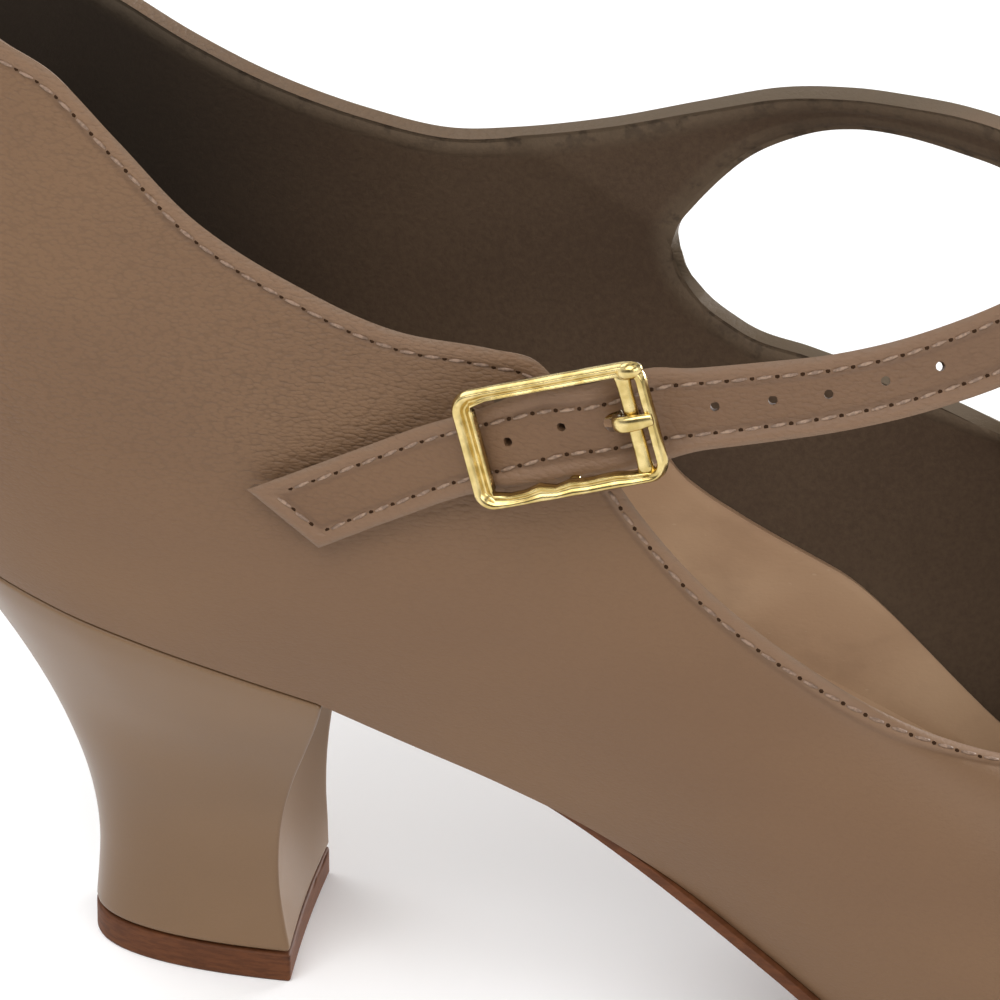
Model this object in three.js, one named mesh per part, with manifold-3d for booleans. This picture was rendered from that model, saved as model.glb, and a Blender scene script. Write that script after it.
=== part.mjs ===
// A right dance shoe with a covered block heel and one buckled strap, in millimetres.
// +X points to the toe, +Y to the inner (medial) side, +Z up. The origin is on the floor,
// at the middle of the heel's top piece.
import * as THREE from "three";
import Module from "manifold-3d";

const wasm = await Module();
wasm.setup();

// Named sizes.
const LENGTH = 225; // back of the heel seat to the toe tip, measured level
const BALL_WIDTH = 76; // across the sole at the ball
const HEEL_HEIGHT = 54.3; // floor to the back of the heel seat
const BACK_HEIGHT = 60.1; // heel seat to the top of the collar at the back
const SEAT_LENGTH = 46; // back of the seat to the heel breast
const SEAT_DROP = 13.2; // fall of the seat from its back to the breast
const WALL = 1.8; // upper leather with its lining
const SOLE = 2; // outsole at the ball
const SOLE_WAIST = 1.3; // outsole under the waist
const SOLE_EDGE = 0.7; // how far the outsole stands out past the upper at the ball
const INSOLE = 2; // insole thickness
const GAP = 0.3; // clearance between pieces
const LIFT = 3.4; // thickness of the heel's top piece
const BASE_LENGTH = 23.2; // heel base, back to breast
const BASE_WIDTH = 22.8; // heel base, side to side
const STRAP_WIDTH = 8.2;
const STRAP = 1.8; // strap thickness
const HOLE_PITCH = 5.9;
const HOLE_RADIUS = 0.55;
const BUCKLE_LENGTH = 21.7;
const BUCKLE_WIDTH = 13.4;
const BUCKLE_BAR = 1.5; // width of the frame's long bars
const BUCKLE_DEPTH = 1.5; // thickness of the frame
const CENTRE_BAR = 0.6; // radius of the bar under the strap
const TAB = 0.6; // leather tab round the centre bar
const PRONG = 1.5; // width of the prong

const TOP = HEEL_HEIGHT + BACK_HEIGHT;
const ORIGIN = 29.5; // back of the seat to the middle of the top piece

// Mesh density.
const HALF = 60; // stations from heel back to toe on each side
const RISE = 9; // cells up the wall
// Medial stations where the strap's wing leaves the collar and meets the vamp's topline.
const HORN_START = Math.round((HALF * 26) / 60);
const HORN_END = HORN_START + Math.round(HALF / 12);

// A table from its column names and rows.
const table = (columns, rows) =>
  rows.map((row) => Object.fromEntries(columns.map((name, i) => [name, row[i]])));

// Sole line, one row per section. at: heel back 0 to toe 1. along: share of LENGTH.
// outer, inner: half widths on the lateral and medial side, shares of BALL_WIDTH.
const OUTLINE = table(["at", "along", "outer", "inner"], [
  [0, 0, 0, 0],
  [0.05, 0.0116, 0.1171, 0.1171],
  [0.1, 0.0378, 0.2, 0.2],
  [0.16, 0.08, 0.2526, 0.25],
  [0.22, 0.1222, 0.2697, 0.2632],
  [0.28, 0.1667, 0.2724, 0.2605],
  [0.34, 0.2089, 0.2697, 0.25],
  [0.4, 0.2533, 0.2684, 0.2355],
  [0.45, 0.2889, 0.2737, 0.225],
  [0.5, 0.3267, 0.2868, 0.2211],
  [0.55, 0.3689, 0.3105, 0.2263],
  [0.6, 0.4178, 0.3474, 0.25],
  [0.65, 0.4756, 0.3947, 0.3013],
  [0.7, 0.5422, 0.4447, 0.3737],
  [0.75, 0.6133, 0.4868, 0.4461],
  [0.8, 0.6933, 0.5079, 0.4882],
  [0.845, 0.7778, 0.4789, 0.4816],
  [0.885, 0.8533, 0.4, 0.4316],
  [0.92, 0.9156, 0.2842, 0.35],
  [0.95, 0.96, 0.1632, 0.2553],
  [0.975, 0.9884, 0.0579, 0.1579],
  [1, 1, -0.0526, 0.0526],
]);

// Height of the sole line in front of the breast, shares of HEEL_HEIGHT.
const ARCH = table(["along", "outer", "inner"], [
  [0.2044, 0.7569, 0.7569],
  [0.2489, 0.6814, 0.7219],
  [0.2933, 0.6151, 0.6888],
  [0.3378, 0.5451, 0.6372],
  [0.3822, 0.4567, 0.5599],
  [0.4267, 0.3444, 0.453],
  [0.4711, 0.2284, 0.3241],
  [0.5156, 0.1455, 0.1989],
  [0.56, 0.0847, 0.1105],
  [0.6044, 0.0516, 0.0589],
  [0.64, 0.0424, 0.0424],
  [0.6844, 0.0424, 0.0424],
  [0.7289, 0.0424, 0.0424],
  [0.7822, 0.0516, 0.0516],
  [0.8533, 0.081, 0.081],
  [0.9244, 0.1271, 0.1271],
  [1, 0.1878, 0.1878],
]);

// Topline, from the root of the strap's wing round the heel, the outer side, the throat
// and the inner vamp to the root again. tour: -1 and 1 toe, 0 heel back, below 0 medial
// quarter. along: share of LENGTH, across: share of BALL_WIDTH, up: share of TOP.
const TOPLINE = table(["tour", "along", "across", "up"], [
  [-0.4833, 0.3111, 0.2829, 0.7963],
  [-0.4333, 0.2667, 0.2737, 0.7815],
  [-0.39, 0.2356, 0.2618, 0.7797],
  [-0.34, 0.1978, 0.2487, 0.7981],
  [-0.28, 0.1556, 0.2289, 0.8322],
  [-0.22, 0.1182, 0.2079, 0.8759],
  [-0.16, 0.0836, 0.1842, 0.9266],
  [-0.1, 0.0507, 0.1553, 0.9685],
  [-0.05, 0.0258, 0.0974, 0.993],
  [0, 0.0133, 0, 1],
  [0.05, 0.0258, -0.1, 0.9965],
  [0.1, 0.0498, -0.1579, 0.9843],
  [0.16, 0.08, -0.1921, 0.9633],
  [0.22, 0.1111, -0.2158, 0.9091],
  [0.28, 0.1489, -0.2342, 0.8392],
  [0.34, 0.1956, -0.2526, 0.7902],
  [0.4, 0.2467, -0.2658, 0.7552],
  [0.44, 0.2867, -0.2737, 0.75],
  [0.465, 0.3093, -0.2789, 0.743],
  [0.49, 0.3253, -0.2882, 0.708],
  [0.52, 0.3404, -0.3, 0.6608],
  [0.56, 0.3591, -0.3132, 0.6084],
  [0.61, 0.392, -0.3276, 0.5402],
  [0.67, 0.4382, -0.3368, 0.4738],
  [0.73, 0.4844, -0.3316, 0.4213],
  [0.79, 0.5302, -0.2882, 0.3794],
  [0.85, 0.5733, -0.2184, 0.3514],
  [0.9, 0.6027, -0.1474, 0.3357],
  [0.94, 0.6204, -0.0789, 0.3287],
  [0.97, 0.6284, -0.0237, 0.3269],
  [1, 0.6311, 0.0342, 0.3287],
  [1.03, 0.6267, 0.0921, 0.3357],
  [1.06, 0.616, 0.1474, 0.3462],
  [1.1, 0.5964, 0.2079, 0.3654],
  [1.15, 0.5662, 0.2684, 0.4108],
  [1.21, 0.5262, 0.3184, 0.4615],
  [1.27, 0.4862, 0.3421, 0.4965],
  [1.33, 0.4471, 0.3447, 0.5245],
  [1.39, 0.4071, 0.3342, 0.5524],
  [1.44, 0.3733, 0.3171, 0.5822],
  [1.465, 0.3542, 0.3039, 0.6198],
  [1.4755, 0.3467, 0.2974, 0.646],
  [1.4833, 0.344, 0.2947, 0.6766],
  [1.5, 0.3453, 0.2961, 0.708],
]);

// Swell of the wall. low_out, high_out: share of BALL_WIDTH; low_up, high_down: share of
// the wall's own height; pull: share of the way from topline to sole line.
const SWELL = table(["tour", "low_out", "low_up", "pull", "high_out", "high_down"], [
  [-0.9, 0.0211, 0.56, 0.52, 0, 0.12],
  [-0.8, 0.0316, 0.52, 0.46, 0.0026, 0.1],
  [-0.7, 0.0526, 0.46, 0.3, 0.0158, 0.16],
  [-0.6, 0.0711, 0.4, 0.12, 0.0263, 0.28],
  [-0.5, 0.0816, 0.36, 0.02, 0.0342, 0.34],
  [-0.4, 0.0842, 0.34, 0, 0.0421, 0.36],
  [-0.3, 0.0842, 0.32, 0, 0.0579, 0.36],
  [-0.15, 0.0842, 0.3, 0, 0.0789, 0.38],
  [0, 0.0816, 0.3, 0, 0.0868, 0.4],
  [0.15, 0.0842, 0.3, 0, 0.0789, 0.38],
  [0.3, 0.0842, 0.32, 0, 0.0632, 0.36],
  [0.4, 0.0868, 0.34, 0, 0.0526, 0.36],
  [0.5, 0.0868, 0.36, 0.02, 0.0447, 0.36],
  [0.6, 0.0789, 0.4, 0.12, 0.0316, 0.28],
  [0.7, 0.0553, 0.46, 0.3, 0.0184, 0.16],
  [0.8, 0.0316, 0.52, 0.46, 0.0053, 0.1],
  [0.9, 0.0211, 0.56, 0.54, 0, 0.12],
  [1, 0.0132, 0.56, 0.56, 0, 0.14],
]);

// The strap, upper and lower edge, from the root of its wing to the buckle.
// along, across, up as in TOPLINE; a and b for the two edges.
const BAND = table(["run", "along_a", "across_a", "up_a", "along_b", "across_b", "up_b"], [
  [-1, 0.2311, 0.2605, 0.7806, 0.352, 0.3026, 0.6276],
  [0, 0.2667, 0.2737, 0.7815, 0.344, 0.2947, 0.6766],
  [1, 0.3111, 0.2829, 0.7963, 0.3533, 0.3013, 0.7107],
  [2, 0.3556, 0.2895, 0.8199, 0.3773, 0.3079, 0.7614],
  [3, 0.3933, 0.275, 0.8453, 0.4036, 0.3053, 0.7928],
  [4, 0.428, 0.2434, 0.8619, 0.4276, 0.2842, 0.8112],
  [5, 0.4564, 0.2105, 0.8706, 0.4542, 0.2526, 0.8199],
  [6, 0.4844, 0.1842, 0.8733, 0.4827, 0.2224, 0.8173],
  [7, 0.5111, 0.1487, 0.8715, 0.5102, 0.1855, 0.8121],
  [8, 0.5404, 0.0868, 0.8636, 0.5431, 0.1132, 0.7955],
  [9, 0.5573, 0, 0.8497, 0.5644, 0.0053, 0.7797],
  [10, 0.5493, -0.0947, 0.8304, 0.5582, -0.1132, 0.7622],
  [11, 0.5227, -0.1711, 0.8094, 0.5316, -0.2079, 0.7448],
  [12, 0.4844, -0.2303, 0.7876, 0.4933, -0.2763, 0.7281],
  [13, 0.448, -0.2632, 0.7719, 0.456, -0.3079, 0.7115],
  [14, 0.4093, -0.2895, 0.764, 0.4173, -0.3289, 0.6984],
  [15, 0.3707, -0.3105, 0.7561, 0.3787, -0.3447, 0.6871],
  [16, 0.3244, -0.3289, 0.7404, 0.3333, -0.3421, 0.6722],
  [17, 0.2756, -0.3289, 0.7045, 0.2862, -0.3421, 0.6355],
  [18, 0.2311, -0.3289, 0.6573, 0.2467, -0.3421, 0.5909],
  [19, 0.1778, -0.3289, 0.6066, 0.2116, -0.3487, 0.5551],
]);
const TABLE_WIDTH = 8.2; // strap width that the table was drawn for
const SEAM = 7.5; // run where the wing ends and the strap begins
const CLASP = 16; // run from which the strap lies over the quarter
const BUCKLE_RUN = 16.07; // run at the middle of the buckle

// The strap over the quarter: stand is how far its inner face is off the wall, in
// strap thicknesses.
const STAND = table(["run", "stand"], [
  [14, 1.8],
  [15, 2],
  [16, 2.1],
  [17, 1.6],
  [17.5, 0.9],
  [18, 0.4],
  [19, 0.25],
]);

// Heel block, base to seat. back, breast: shares of SEAT_LENGTH; half: share of
// BASE_WIDTH; hollow: depth of the concave breast, and ahead: how far its inner edge is
// in front of its outer one, shares of BASE_LENGTH.
const HEEL = table(["up", "back", "breast", "half", "hollow", "ahead"], [
  [0, 0.3891, 0.8935, 0.5, 0.0129, 0],
  [0.08, 0.3957, 0.8826, 0.4956, 0.0517, 0.0216],
  [0.2, 0.4, 0.8717, 0.4956, 0.1034, 0.0388],
  [0.34, 0.3826, 0.8739, 0.5132, 0.1379, 0.0431],
  [0.48, 0.3413, 0.8913, 0.5658, 0.1552, 0.0345],
  [0.62, 0.2783, 0.9217, 0.6404, 0.1552, 0.0216],
  [0.75, 0.1978, 0.9565, 0.7325, 0.1293, 0.0086],
  [0.87, 0.1043, 0.987, 0.8158, 0.0776, 0],
  [0.95, 0.0413, 1.0043, 0.8684, 0.0345, 0],
  [1, 0.0109, 1.013, 0.8947, 0.0086, 0],
]);

// Curves through the tables.

// A smooth curve through the rows of a table, along the column named by key.
function through(rows, key, period = 0) {
  const count = rows.length;
  const names = Object.keys(rows[0]).filter((name) => name !== key);
  const at = (i) => {
    if (!period) return rows[Math.min(Math.max(i, 0), count - 1)];
    return rows[((i % count) + count) % count];
  };
  const place = (i) => {
    if (!period) return at(i)[key];
    return at(i)[key] + Math.floor(i / count) * period;
  };
  const slope = (i, name) => {
    const before = place(i) - place(i - 1);
    const after = place(i + 1) - place(i);
    const low = before > 0 ? (at(i)[name] - at(i - 1)[name]) / before : null;
    const high = after > 0 ? (at(i + 1)[name] - at(i)[name]) / after : null;
    if (low === null) return high;
    if (high === null) return low;
    return (low * after + high * before) / (before + after);
  };
  return (where) => {
    let t = where;
    if (period) {
      while (t < rows[0][key]) t += period;
      while (t >= rows[0][key] + period) t -= period;
    }
    let i = 0;
    const last = period ? count - 1 : count - 2;
    while (i < last && place(i + 1) <= t) i += 1;
    const width = place(i + 1) - place(i);
    const s = Math.min(Math.max((t - place(i)) / width, 0), 1);
    const out = {};
    for (const name of names) {
      const a = at(i)[name];
      const b = at(i + 1)[name];
      const ma = slope(i, name) * width;
      const mb = slope(i + 1, name) * width;
      const s2 = s * s;
      const s3 = s2 * s;
      out[name] = (2 * s3 - 3 * s2 + 1) * a + (s3 - 2 * s2 + s) * ma;
      out[name] += (3 * s2 - 2 * s3) * b + (s3 - s2) * mb;
    }
    return out;
  };
}

const outlineAt = through(OUTLINE, "at");
const archAt = through(ARCH, "along");
const topAt = through(TOPLINE, "tour");
const swellAt = through(SWELL, "tour", 2);
const bandAt = through(BAND, "run");
const standAt = through(STAND, "run");
const heelAt = through(HEEL, "up");

const mix = (a, b, t) => a.clone().lerp(b, t);
const vec = (x, y, z) => new THREE.Vector3(x, y, z);
const smooth = (t) => t * t * (3 - 2 * t);

// Height of the sole line at x, on the outer (side 1) or inner (side -1) edge or between.
function bottom(x, side) {
  if (x <= SEAT_LENGTH) return HEEL_HEIGHT - (SEAT_DROP * x) / SEAT_LENGTH;
  const row = archAt(x / LENGTH);
  return HEEL_HEIGHT * THREE.MathUtils.lerp(row.inner, row.outer, (side + 1) / 2);
}

// Point of the sole line: at 0 to 1, side 1 lateral (-Y) or -1 medial (+Y).
function edge(at, side) {
  const row = outlineAt(at);
  const x = row.along * LENGTH;
  const half = (side > 0 ? row.outer : row.inner) * BALL_WIDTH;
  return vec(x, -side * half, bottom(x, side));
}

// Level outward direction of the sole line.
function outward(at, side) {
  const step = 1e-3;
  const a = edge(Math.max(at - step, 0), side);
  const b = edge(Math.min(at + step, 1), side);
  if (at < step) return vec(-1, 0, 0);
  if (at > 1 - step) return vec(1, 0, 0);
  return vec((b.y - a.y) * side, -(b.x - a.x) * side, 0).normalize();
}

// Ring station to place: 0 heel back, HALF toe, then back along the medial side.
function station(i) {
  const side = i <= HALF ? 1 : -1;
  const step = i <= HALF ? i : 2 * HALF - i;
  const at = step / HALF;
  return { side, at, step, tour: side > 0 ? at : -at };
}

function topPoint(row) {
  return vec(row.along * LENGTH, row.across * BALL_WIDTH, row.up * TOP);
}

function bandEdges(run) {
  const row = bandAt(run);
  const a = vec(row.along_a * LENGTH, row.across_a * BALL_WIDTH, row.up_a * TOP);
  const b = vec(row.along_b * LENGTH, row.across_b * BALL_WIDTH, row.up_b * TOP);
  const middle = mix(a, b, 0.5);
  const narrow = smooth(THREE.MathUtils.clamp(run / 5, 0, 1));
  const wide = THREE.MathUtils.lerp(1, STRAP_WIDTH / TABLE_WIDTH, narrow);
  a.sub(middle).multiplyScalar(wide).add(middle);
  b.sub(middle).multiplyScalar(wide).add(middle);
  return { a, b };
}

// Topline point over a place on the sole line.
function topline(place) {
  if (place.side < 0 && place.step >= HORN_START && place.step <= HORN_END) {
    const root = bandEdges(0);
    const share = (place.step - HORN_START) / (HORN_END - HORN_START);
    return mix(root.a, root.b, share);
  }
  const medialVamp = place.side < 0 && place.step > HORN_END;
  return topPoint(topAt(medialVamp ? 2 - place.at : place.tour));
}

// One column of the wall's outside, from sole line to topline.
function wallColumn(place) {
  const foot = edge(place.at, place.side);
  const head = topline(place);
  const row = swellAt(place.tour);
  const out = outward(place.at, place.side);
  const height = head.z - foot.z;
  const level = vec(foot.x - head.x, foot.y - head.y, 0);
  const low = foot.clone().addScaledVector(out, row.low_out * BALL_WIDTH);
  low.z += row.low_up * height;
  const high = head.clone().addScaledVector(level, row.pull);
  high.addScaledVector(out, row.high_out * BALL_WIDTH);
  high.z -= row.high_down * height;
  return new THREE.CubicBezierCurve3(foot, low, high, head);
}

// Outside of the lateral wall at a given x and height, for pieces that lie on it.
function wallAt(x, z) {
  const reach = (at) => {
    const column = wallColumn({ side: 1, at, step: 0, tour: at });
    let low = 0;
    let high = 1;
    for (let k = 0; k < 24; k += 1) {
      const middle = (low + high) / 2;
      if (column.getPoint(middle).z < z) low = middle;
      else high = middle;
    }
    return column.getPoint(low);
  };
  let low = 0.05;
  let high = 0.9;
  for (let k = 0; k < 24; k += 1) {
    const middle = (low + high) / 2;
    if (reach(middle).x < x) low = middle;
    else high = middle;
  }
  return reach(low);
}

// Meshes and solids.

function geometryOf(points, faces) {
  const geometry = new THREE.BufferGeometry();
  const flat = new Float32Array(points.length * 3);
  points.forEach((p, i) => flat.set([p.x - ORIGIN, p.y, p.z], 3 * i));
  geometry.setAttribute("position", new THREE.BufferAttribute(flat, 3));
  geometry.setIndex(faces.flat());
  return geometry;
}

function volumeOf(points, faces) {
  let sum = 0;
  for (const [a, b, c] of faces) {
    sum += points[a].dot(points[b].clone().cross(points[c]));
  }
  return sum / 6;
}

// Turns the faces of a closed body outward.
function closed(points, faces) {
  const turned = volumeOf(points, faces) < 0;
  return { points, faces: turned ? faces.map(([a, b, c]) => [a, c, b]) : faces };
}

// A closed body from an open sheet and a matching second sheet on its far side.
function doubled(near, far, faces) {
  const count = near.length;
  const seen = new Set();
  for (const [a, b, c] of faces) {
    seen.add(a + "," + b).add(b + "," + c).add(c + "," + a);
  }
  const all = [...faces];
  for (const [a, b, c] of faces) all.push([a + count, c + count, b + count]);
  for (const pair of seen) {
    const [a, b] = pair.split(",").map(Number);
    if (seen.has(b + "," + a)) continue;
    all.push([b, a, a + count], [b, a + count, b + count]);
  }
  return closed([...near, ...far], all);
}

// Gives an open sheet a thickness. The second face lies on the side that the sheet's
// triangles turn away from.
function thicken(points, faces, depth) {
  const normals = points.map(() => vec(0, 0, 0));
  for (const [a, b, c] of faces) {
    const ab = points[b].clone().sub(points[a]);
    const ac = points[c].clone().sub(points[a]);
    const normal = ab.cross(ac);
    for (const i of [a, b, c]) normals[i].add(normal);
  }
  const inner = points.map((p, i) =>
    p.clone().addScaledVector(normals[i].normalize(), -depth),
  );
  return doubled(points, inner, faces);
}

const quad = (faces, a, b, c, d) => faces.push([a, b, c], [a, c, d]);

// A quad split along its shorter diagonal.
function fold(points, faces, a, b, c, d) {
  const first = points[a].distanceTo(points[c]);
  const second = points[b].distanceTo(points[d]);
  if (first <= second) faces.push([a, b, c], [a, c, d]);
  else faces.push([a, b, d], [b, c, d]);
}

function solidFrom(body) {
  const flat = new Float32Array(body.points.length * 3);
  body.points.forEach((p, i) => flat.set([p.x, p.y, p.z], 3 * i));
  const mesh = new wasm.Mesh({
    numProp: 3,
    vertProperties: flat,
    triVerts: new Uint32Array(body.faces.flat()),
  });
  return new wasm.Manifold(mesh);
}

function bodyFrom(solid) {
  const mesh = solid.getMesh();
  const points = [];
  for (let i = 0; i < mesh.numVert; i += 1) {
    const k = i * mesh.numProp;
    points.push(vec(...mesh.vertProperties.slice(k, k + 3)));
  }
  const faces = [];
  for (let i = 0; i < mesh.triVerts.length; i += 3) {
    faces.push([...mesh.triVerts.slice(i, i + 3)]);
  }
  return { points, faces };
}

// Quarters and vamp, with the wing of the strap.

function upper() {
  const points = [];
  const faces = [];
  const ring = 2 * HALF;
  for (let i = 0; i < ring; i += 1) {
    const column = wallColumn(station(i));
    for (let k = 0; k <= RISE; k += 1) points.push(column.getPoint(k / RISE));
  }
  const id = (i, k) => ((i + ring) % ring) * (RISE + 1) + k;
  for (let i = 0; i < ring; i += 1) {
    for (let k = 0; k < RISE; k += 1) {
      fold(points, faces, id(i, k), id(i + 1, k), id(i + 1, k + 1), id(i, k + 1));
    }
  }
  // The wing of the strap grows out of the medial topline.
  const columns = HORN_END - HORN_START;
  const rows = 16;
  const root = (j) => id(2 * HALF - HORN_START - j, RISE);
  const first = points.length;
  for (let r = 1; r <= rows; r += 1) {
    const { a, b } = bandEdges((SEAM * r) / rows);
    for (let j = 0; j <= columns; j += 1) points.push(mix(a, b, j / columns));
  }
  const wing = (r, j) => (r === 0 ? root(j) : first + (r - 1) * (columns + 1) + j);
  for (let r = 0; r < rows; r += 1) {
    for (let j = 0; j < columns; j += 1) {
      fold(points, faces, wing(r, j + 1), wing(r, j), wing(r + 1, j), wing(r + 1, j + 1));
    }
  }
  return thicken(points, faces, WALL);
}

// Sole and insole, made of strips from side to side.

// across(step): points from the lateral to the medial side. The first and last strip run
// to startPoint and endPoint, where given.
function plate(steps, across, startPoint, endPoint) {
  const points = [];
  const faces = [];
  const rows = steps.map((step) => {
    const line = across(step);
    const start = points.length;
    points.push(...line);
    return { start, count: line.length };
  });
  for (let r = 0; r + 1 < rows.length; r += 1) {
    const a = rows[r].start;
    const b = rows[r + 1].start;
    for (let j = 0; j + 1 < rows[r].count; j += 1) {
      quad(faces, a + j, a + j + 1, b + j + 1, b + j);
    }
  }
  const cap = (point, row, turned) => {
    const tip = points.length;
    points.push(point);
    for (let j = 0; j + 1 < row.count; j += 1) {
      const [a, b] = [row.start + j, row.start + j + 1];
      faces.push(turned ? [tip, a, b] : [tip, b, a]);
    }
  };
  if (startPoint) cap(startPoint, rows[0], false);
  if (endPoint) cap(endPoint, rows[rows.length - 1], true);
  return { points, faces };
}

// How far the outsole's edge lies outside (+) or inside (-) the upper's, by x.
function soleMargin(x) {
  const t = THREE.MathUtils.clamp((x / LENGTH - 0.25) / 0.15, 0, 1);
  return THREE.MathUtils.lerp(-4, SOLE_EDGE, smooth(t));
}

function soleDepth(x) {
  const t = THREE.MathUtils.clamp((x / LENGTH - 0.36) / 0.2, 0, 1);
  return THREE.MathUtils.lerp(SOLE_WAIST, SOLE, smooth(t));
}

function outsole() {
  const start = Math.ceil(HALF * 0.345);
  const steps = [];
  for (let s = start; s < HALF; s += 1) steps.push(s);
  const half = 3;
  const rim = (step, side) => {
    const at = step / HALF;
    const p = edge(at, side);
    p.addScaledVector(outward(at, side), soleMargin(p.x));
    if (step === start) p.x = SEAT_LENGTH + 1.2;
    return p;
  };
  const line = (step) => {
    const a = rim(step, 1);
    const b = rim(step, -1);
    const out = [];
    for (let j = 0; j <= 2 * half; j += 1) {
      const t = j / (2 * half);
      const p = mix(a, b, t);
      p.z = bottom(p.x, 1 - 2 * t) - GAP;
      out.push(p);
    }
    return out;
  };
  const tip = edge(1, 1).addScaledVector(vec(1, 0, 0), SOLE_EDGE);
  tip.z = bottom(LENGTH, 0) - GAP;
  const sheet = plate(steps, line, null, tip);
  const under = sheet.points.map((p) => {
    const q = p.clone();
    q.z = Math.max(p.z - soleDepth(p.x), 0);
    if (q.z < 0.02) q.z = 0;
    return q;
  });
  return doubled(sheet.points, under, sheet.faces);
}

// Share of the wall's height that the insole curls up, by side.
function curl(at, side) {
  const rise = Math.sin(Math.PI * THREE.MathUtils.clamp((at - 0.12) / 0.72, 0, 1));
  if (side > 0) return 0.055 + 0.04 * rise ** 1.5;
  const rear = Math.exp(-(((at - 0.39) / 0.1) ** 2));
  const fore = smooth(THREE.MathUtils.clamp((0.7 - at) / 0.09, 0, 1));
  return 0.055 + 0.32 * rise ** 1.5 * fore + 0.06 * rear;
}

// The insole lies in the shoe like a shallow cup. Its rows, from one rim over the floor to
// the other rim, come in pairs: the underside, and the top, which thins out to the rims.
function insole() {
  const steps = [];
  for (let s = 2; s < HALF - 2; s += 1) {
    if (s < 6 || s > HALF - 6 || s % 2 === 0) steps.push(s);
  }
  const inset = WALL + 0.4;
  const folds = 2;
  const floorCells = 4;
  const inside = (step, side, share) => {
    const column = wallColumn(station(side > 0 ? step : 2 * HALF - step));
    const p = column.getPoint(share);
    const out = outward(step / HALF, side);
    const normal = vec(-out.y, out.x, 0).cross(column.getTangent(share)).normalize();
    if (normal.dot(out) < 0) normal.negate();
    return p.addScaledVector(normal, -inset);
  };
  const under = [];
  const over = [];
  const side = (step, hand, fold) => {
    const out = outward(step / HALF, hand);
    const p = inside(step, hand, (curl(step / HALF, hand) * fold) / folds);
    if (fold === 0) p.z = bottom(p.x, hand) + 0.7;
    const thick = INSOLE * (0.75 - (0.25 * fold) / folds);
    const q = p.clone().addScaledVector(out, -thick);
    if (fold === 0) q.z = bottom(q.x, hand) + 0.1 + INSOLE;
    else if (fold < folds) q.z += 0.25 * INSOLE;
    under.push(p);
    over.push(q);
  };
  for (const step of steps) {
    for (let f = folds; f >= 0; f -= 1) side(step, 1, f);
    const start = under.length - 1;
    const a = inside(step, 1, 0);
    const b = inside(step, -1, 0);
    const lines = [];
    for (let j = 1; j < floorCells; j += 1) {
      const t = j / floorCells;
      const p = mix(a, b, t);
      p.z = bottom(p.x, 1 - 2 * t) + 0.1;
      lines.push([p, t]);
    }
    for (const [p] of lines) under.push(p);
    for (let f = 0; f <= folds; f += 1) side(step, -1, f);
    const end = over.length - folds - 1;
    const tops = lines.map(([, t]) => {
      const q = mix(over[start], over[end], t);
      q.z = bottom(q.x, 1 - 2 * t) + 0.1 + INSOLE;
      return q;
    });
    over.splice(start + 1, 0, ...tops);
  }
  const width = 2 * folds + 1 + floorCells;
  const faces = [];
  for (let r = 0; r + 1 < steps.length; r += 1) {
    for (let j = 0; j + 1 < width; j += 1) {
      const a = r * width + j;
      fold(under, faces, a, a + 1, a + width + 1, a + width);
    }
  }
  const tip = (x, row, turned) => {
    const n = under.length;
    const inward = x < SEAT_LENGTH ? 0.6 : -0.6;
    under.push(vec(x, (under[row].y + under[row + width - 1].y) / 2, bottom(x, 0) + 0.7));
    const q = under[n].clone().add(vec(INSOLE * inward, 0, 0));
    q.z = bottom(q.x, 0) + 0.1 + INSOLE;
    over.push(q);
    for (let j = row; j + 1 < row + width; j += 1) {
      faces.push(turned ? [n, j, j + 1] : [n, j + 1, j]);
    }
  };
  tip(inset + 0.6, 0, false);
  tip(LENGTH - inset - 1.2, (steps.length - 1) * width, true);
  return doubled(under, over, faces);
}

// Heel.

// One level of the heel block, a D with its straight side at the breast.
function heelRing(up) {
  const row = heelAt(up);
  const back = row.back * SEAT_LENGTH;
  const breast = row.breast * SEAT_LENGTH;
  const half = row.half * BASE_WIDTH;
  const hollow = row.hollow * BASE_LENGTH;
  const ahead = row.ahead * BASE_LENGTH;
  const sides = 12;
  const front = 8;
  const bow = (t) => Math.sin((t ** 0.9 * Math.PI) / 2) ** 0.52;
  const points = [];
  for (let s = 0; s <= sides; s += 1) {
    const t = s / sides;
    points.push([back + (breast - back) * t ** 1.45, -half * bow(t)]);
  }
  for (let s = 1; s < front; s += 1) {
    const t = s / front;
    const x = breast + ahead * t - hollow * Math.sin(Math.PI * t);
    points.push([x, -half + 2 * half * t]);
  }
  for (let s = sides; s > 0; s -= 1) {
    const t = s / sides;
    points.push([back + (breast + ahead - back) * t ** 1.45, half * bow(t)]);
  }
  return points;
}

// The seat's outline, matched point for point with the D of the levels below.
function seatRing() {
  const ring = heelRing(1);
  return ring.map(([x, y]) => {
    const at = THREE.MathUtils.clamp(x, 0, SEAT_LENGTH);
    let low = 0;
    let high = 0.5;
    for (let k = 0; k < 24; k += 1) {
      const middle = (low + high) / 2;
      if (outlineAt(middle).along * LENGTH < at) low = middle;
      else high = middle;
    }
    const row = outlineAt(low);
    const half = (y < 0 ? row.outer : row.inner) * BALL_WIDTH;
    const own = heelAt(1).half * BASE_WIDTH;
    const inFront = Math.abs(x - heelAt(1).breast * SEAT_LENGTH) < 1e-6 || y === 0;
    return [x, inFront ? (y / own) * half : Math.sign(y) * half];
  });
}

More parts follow.
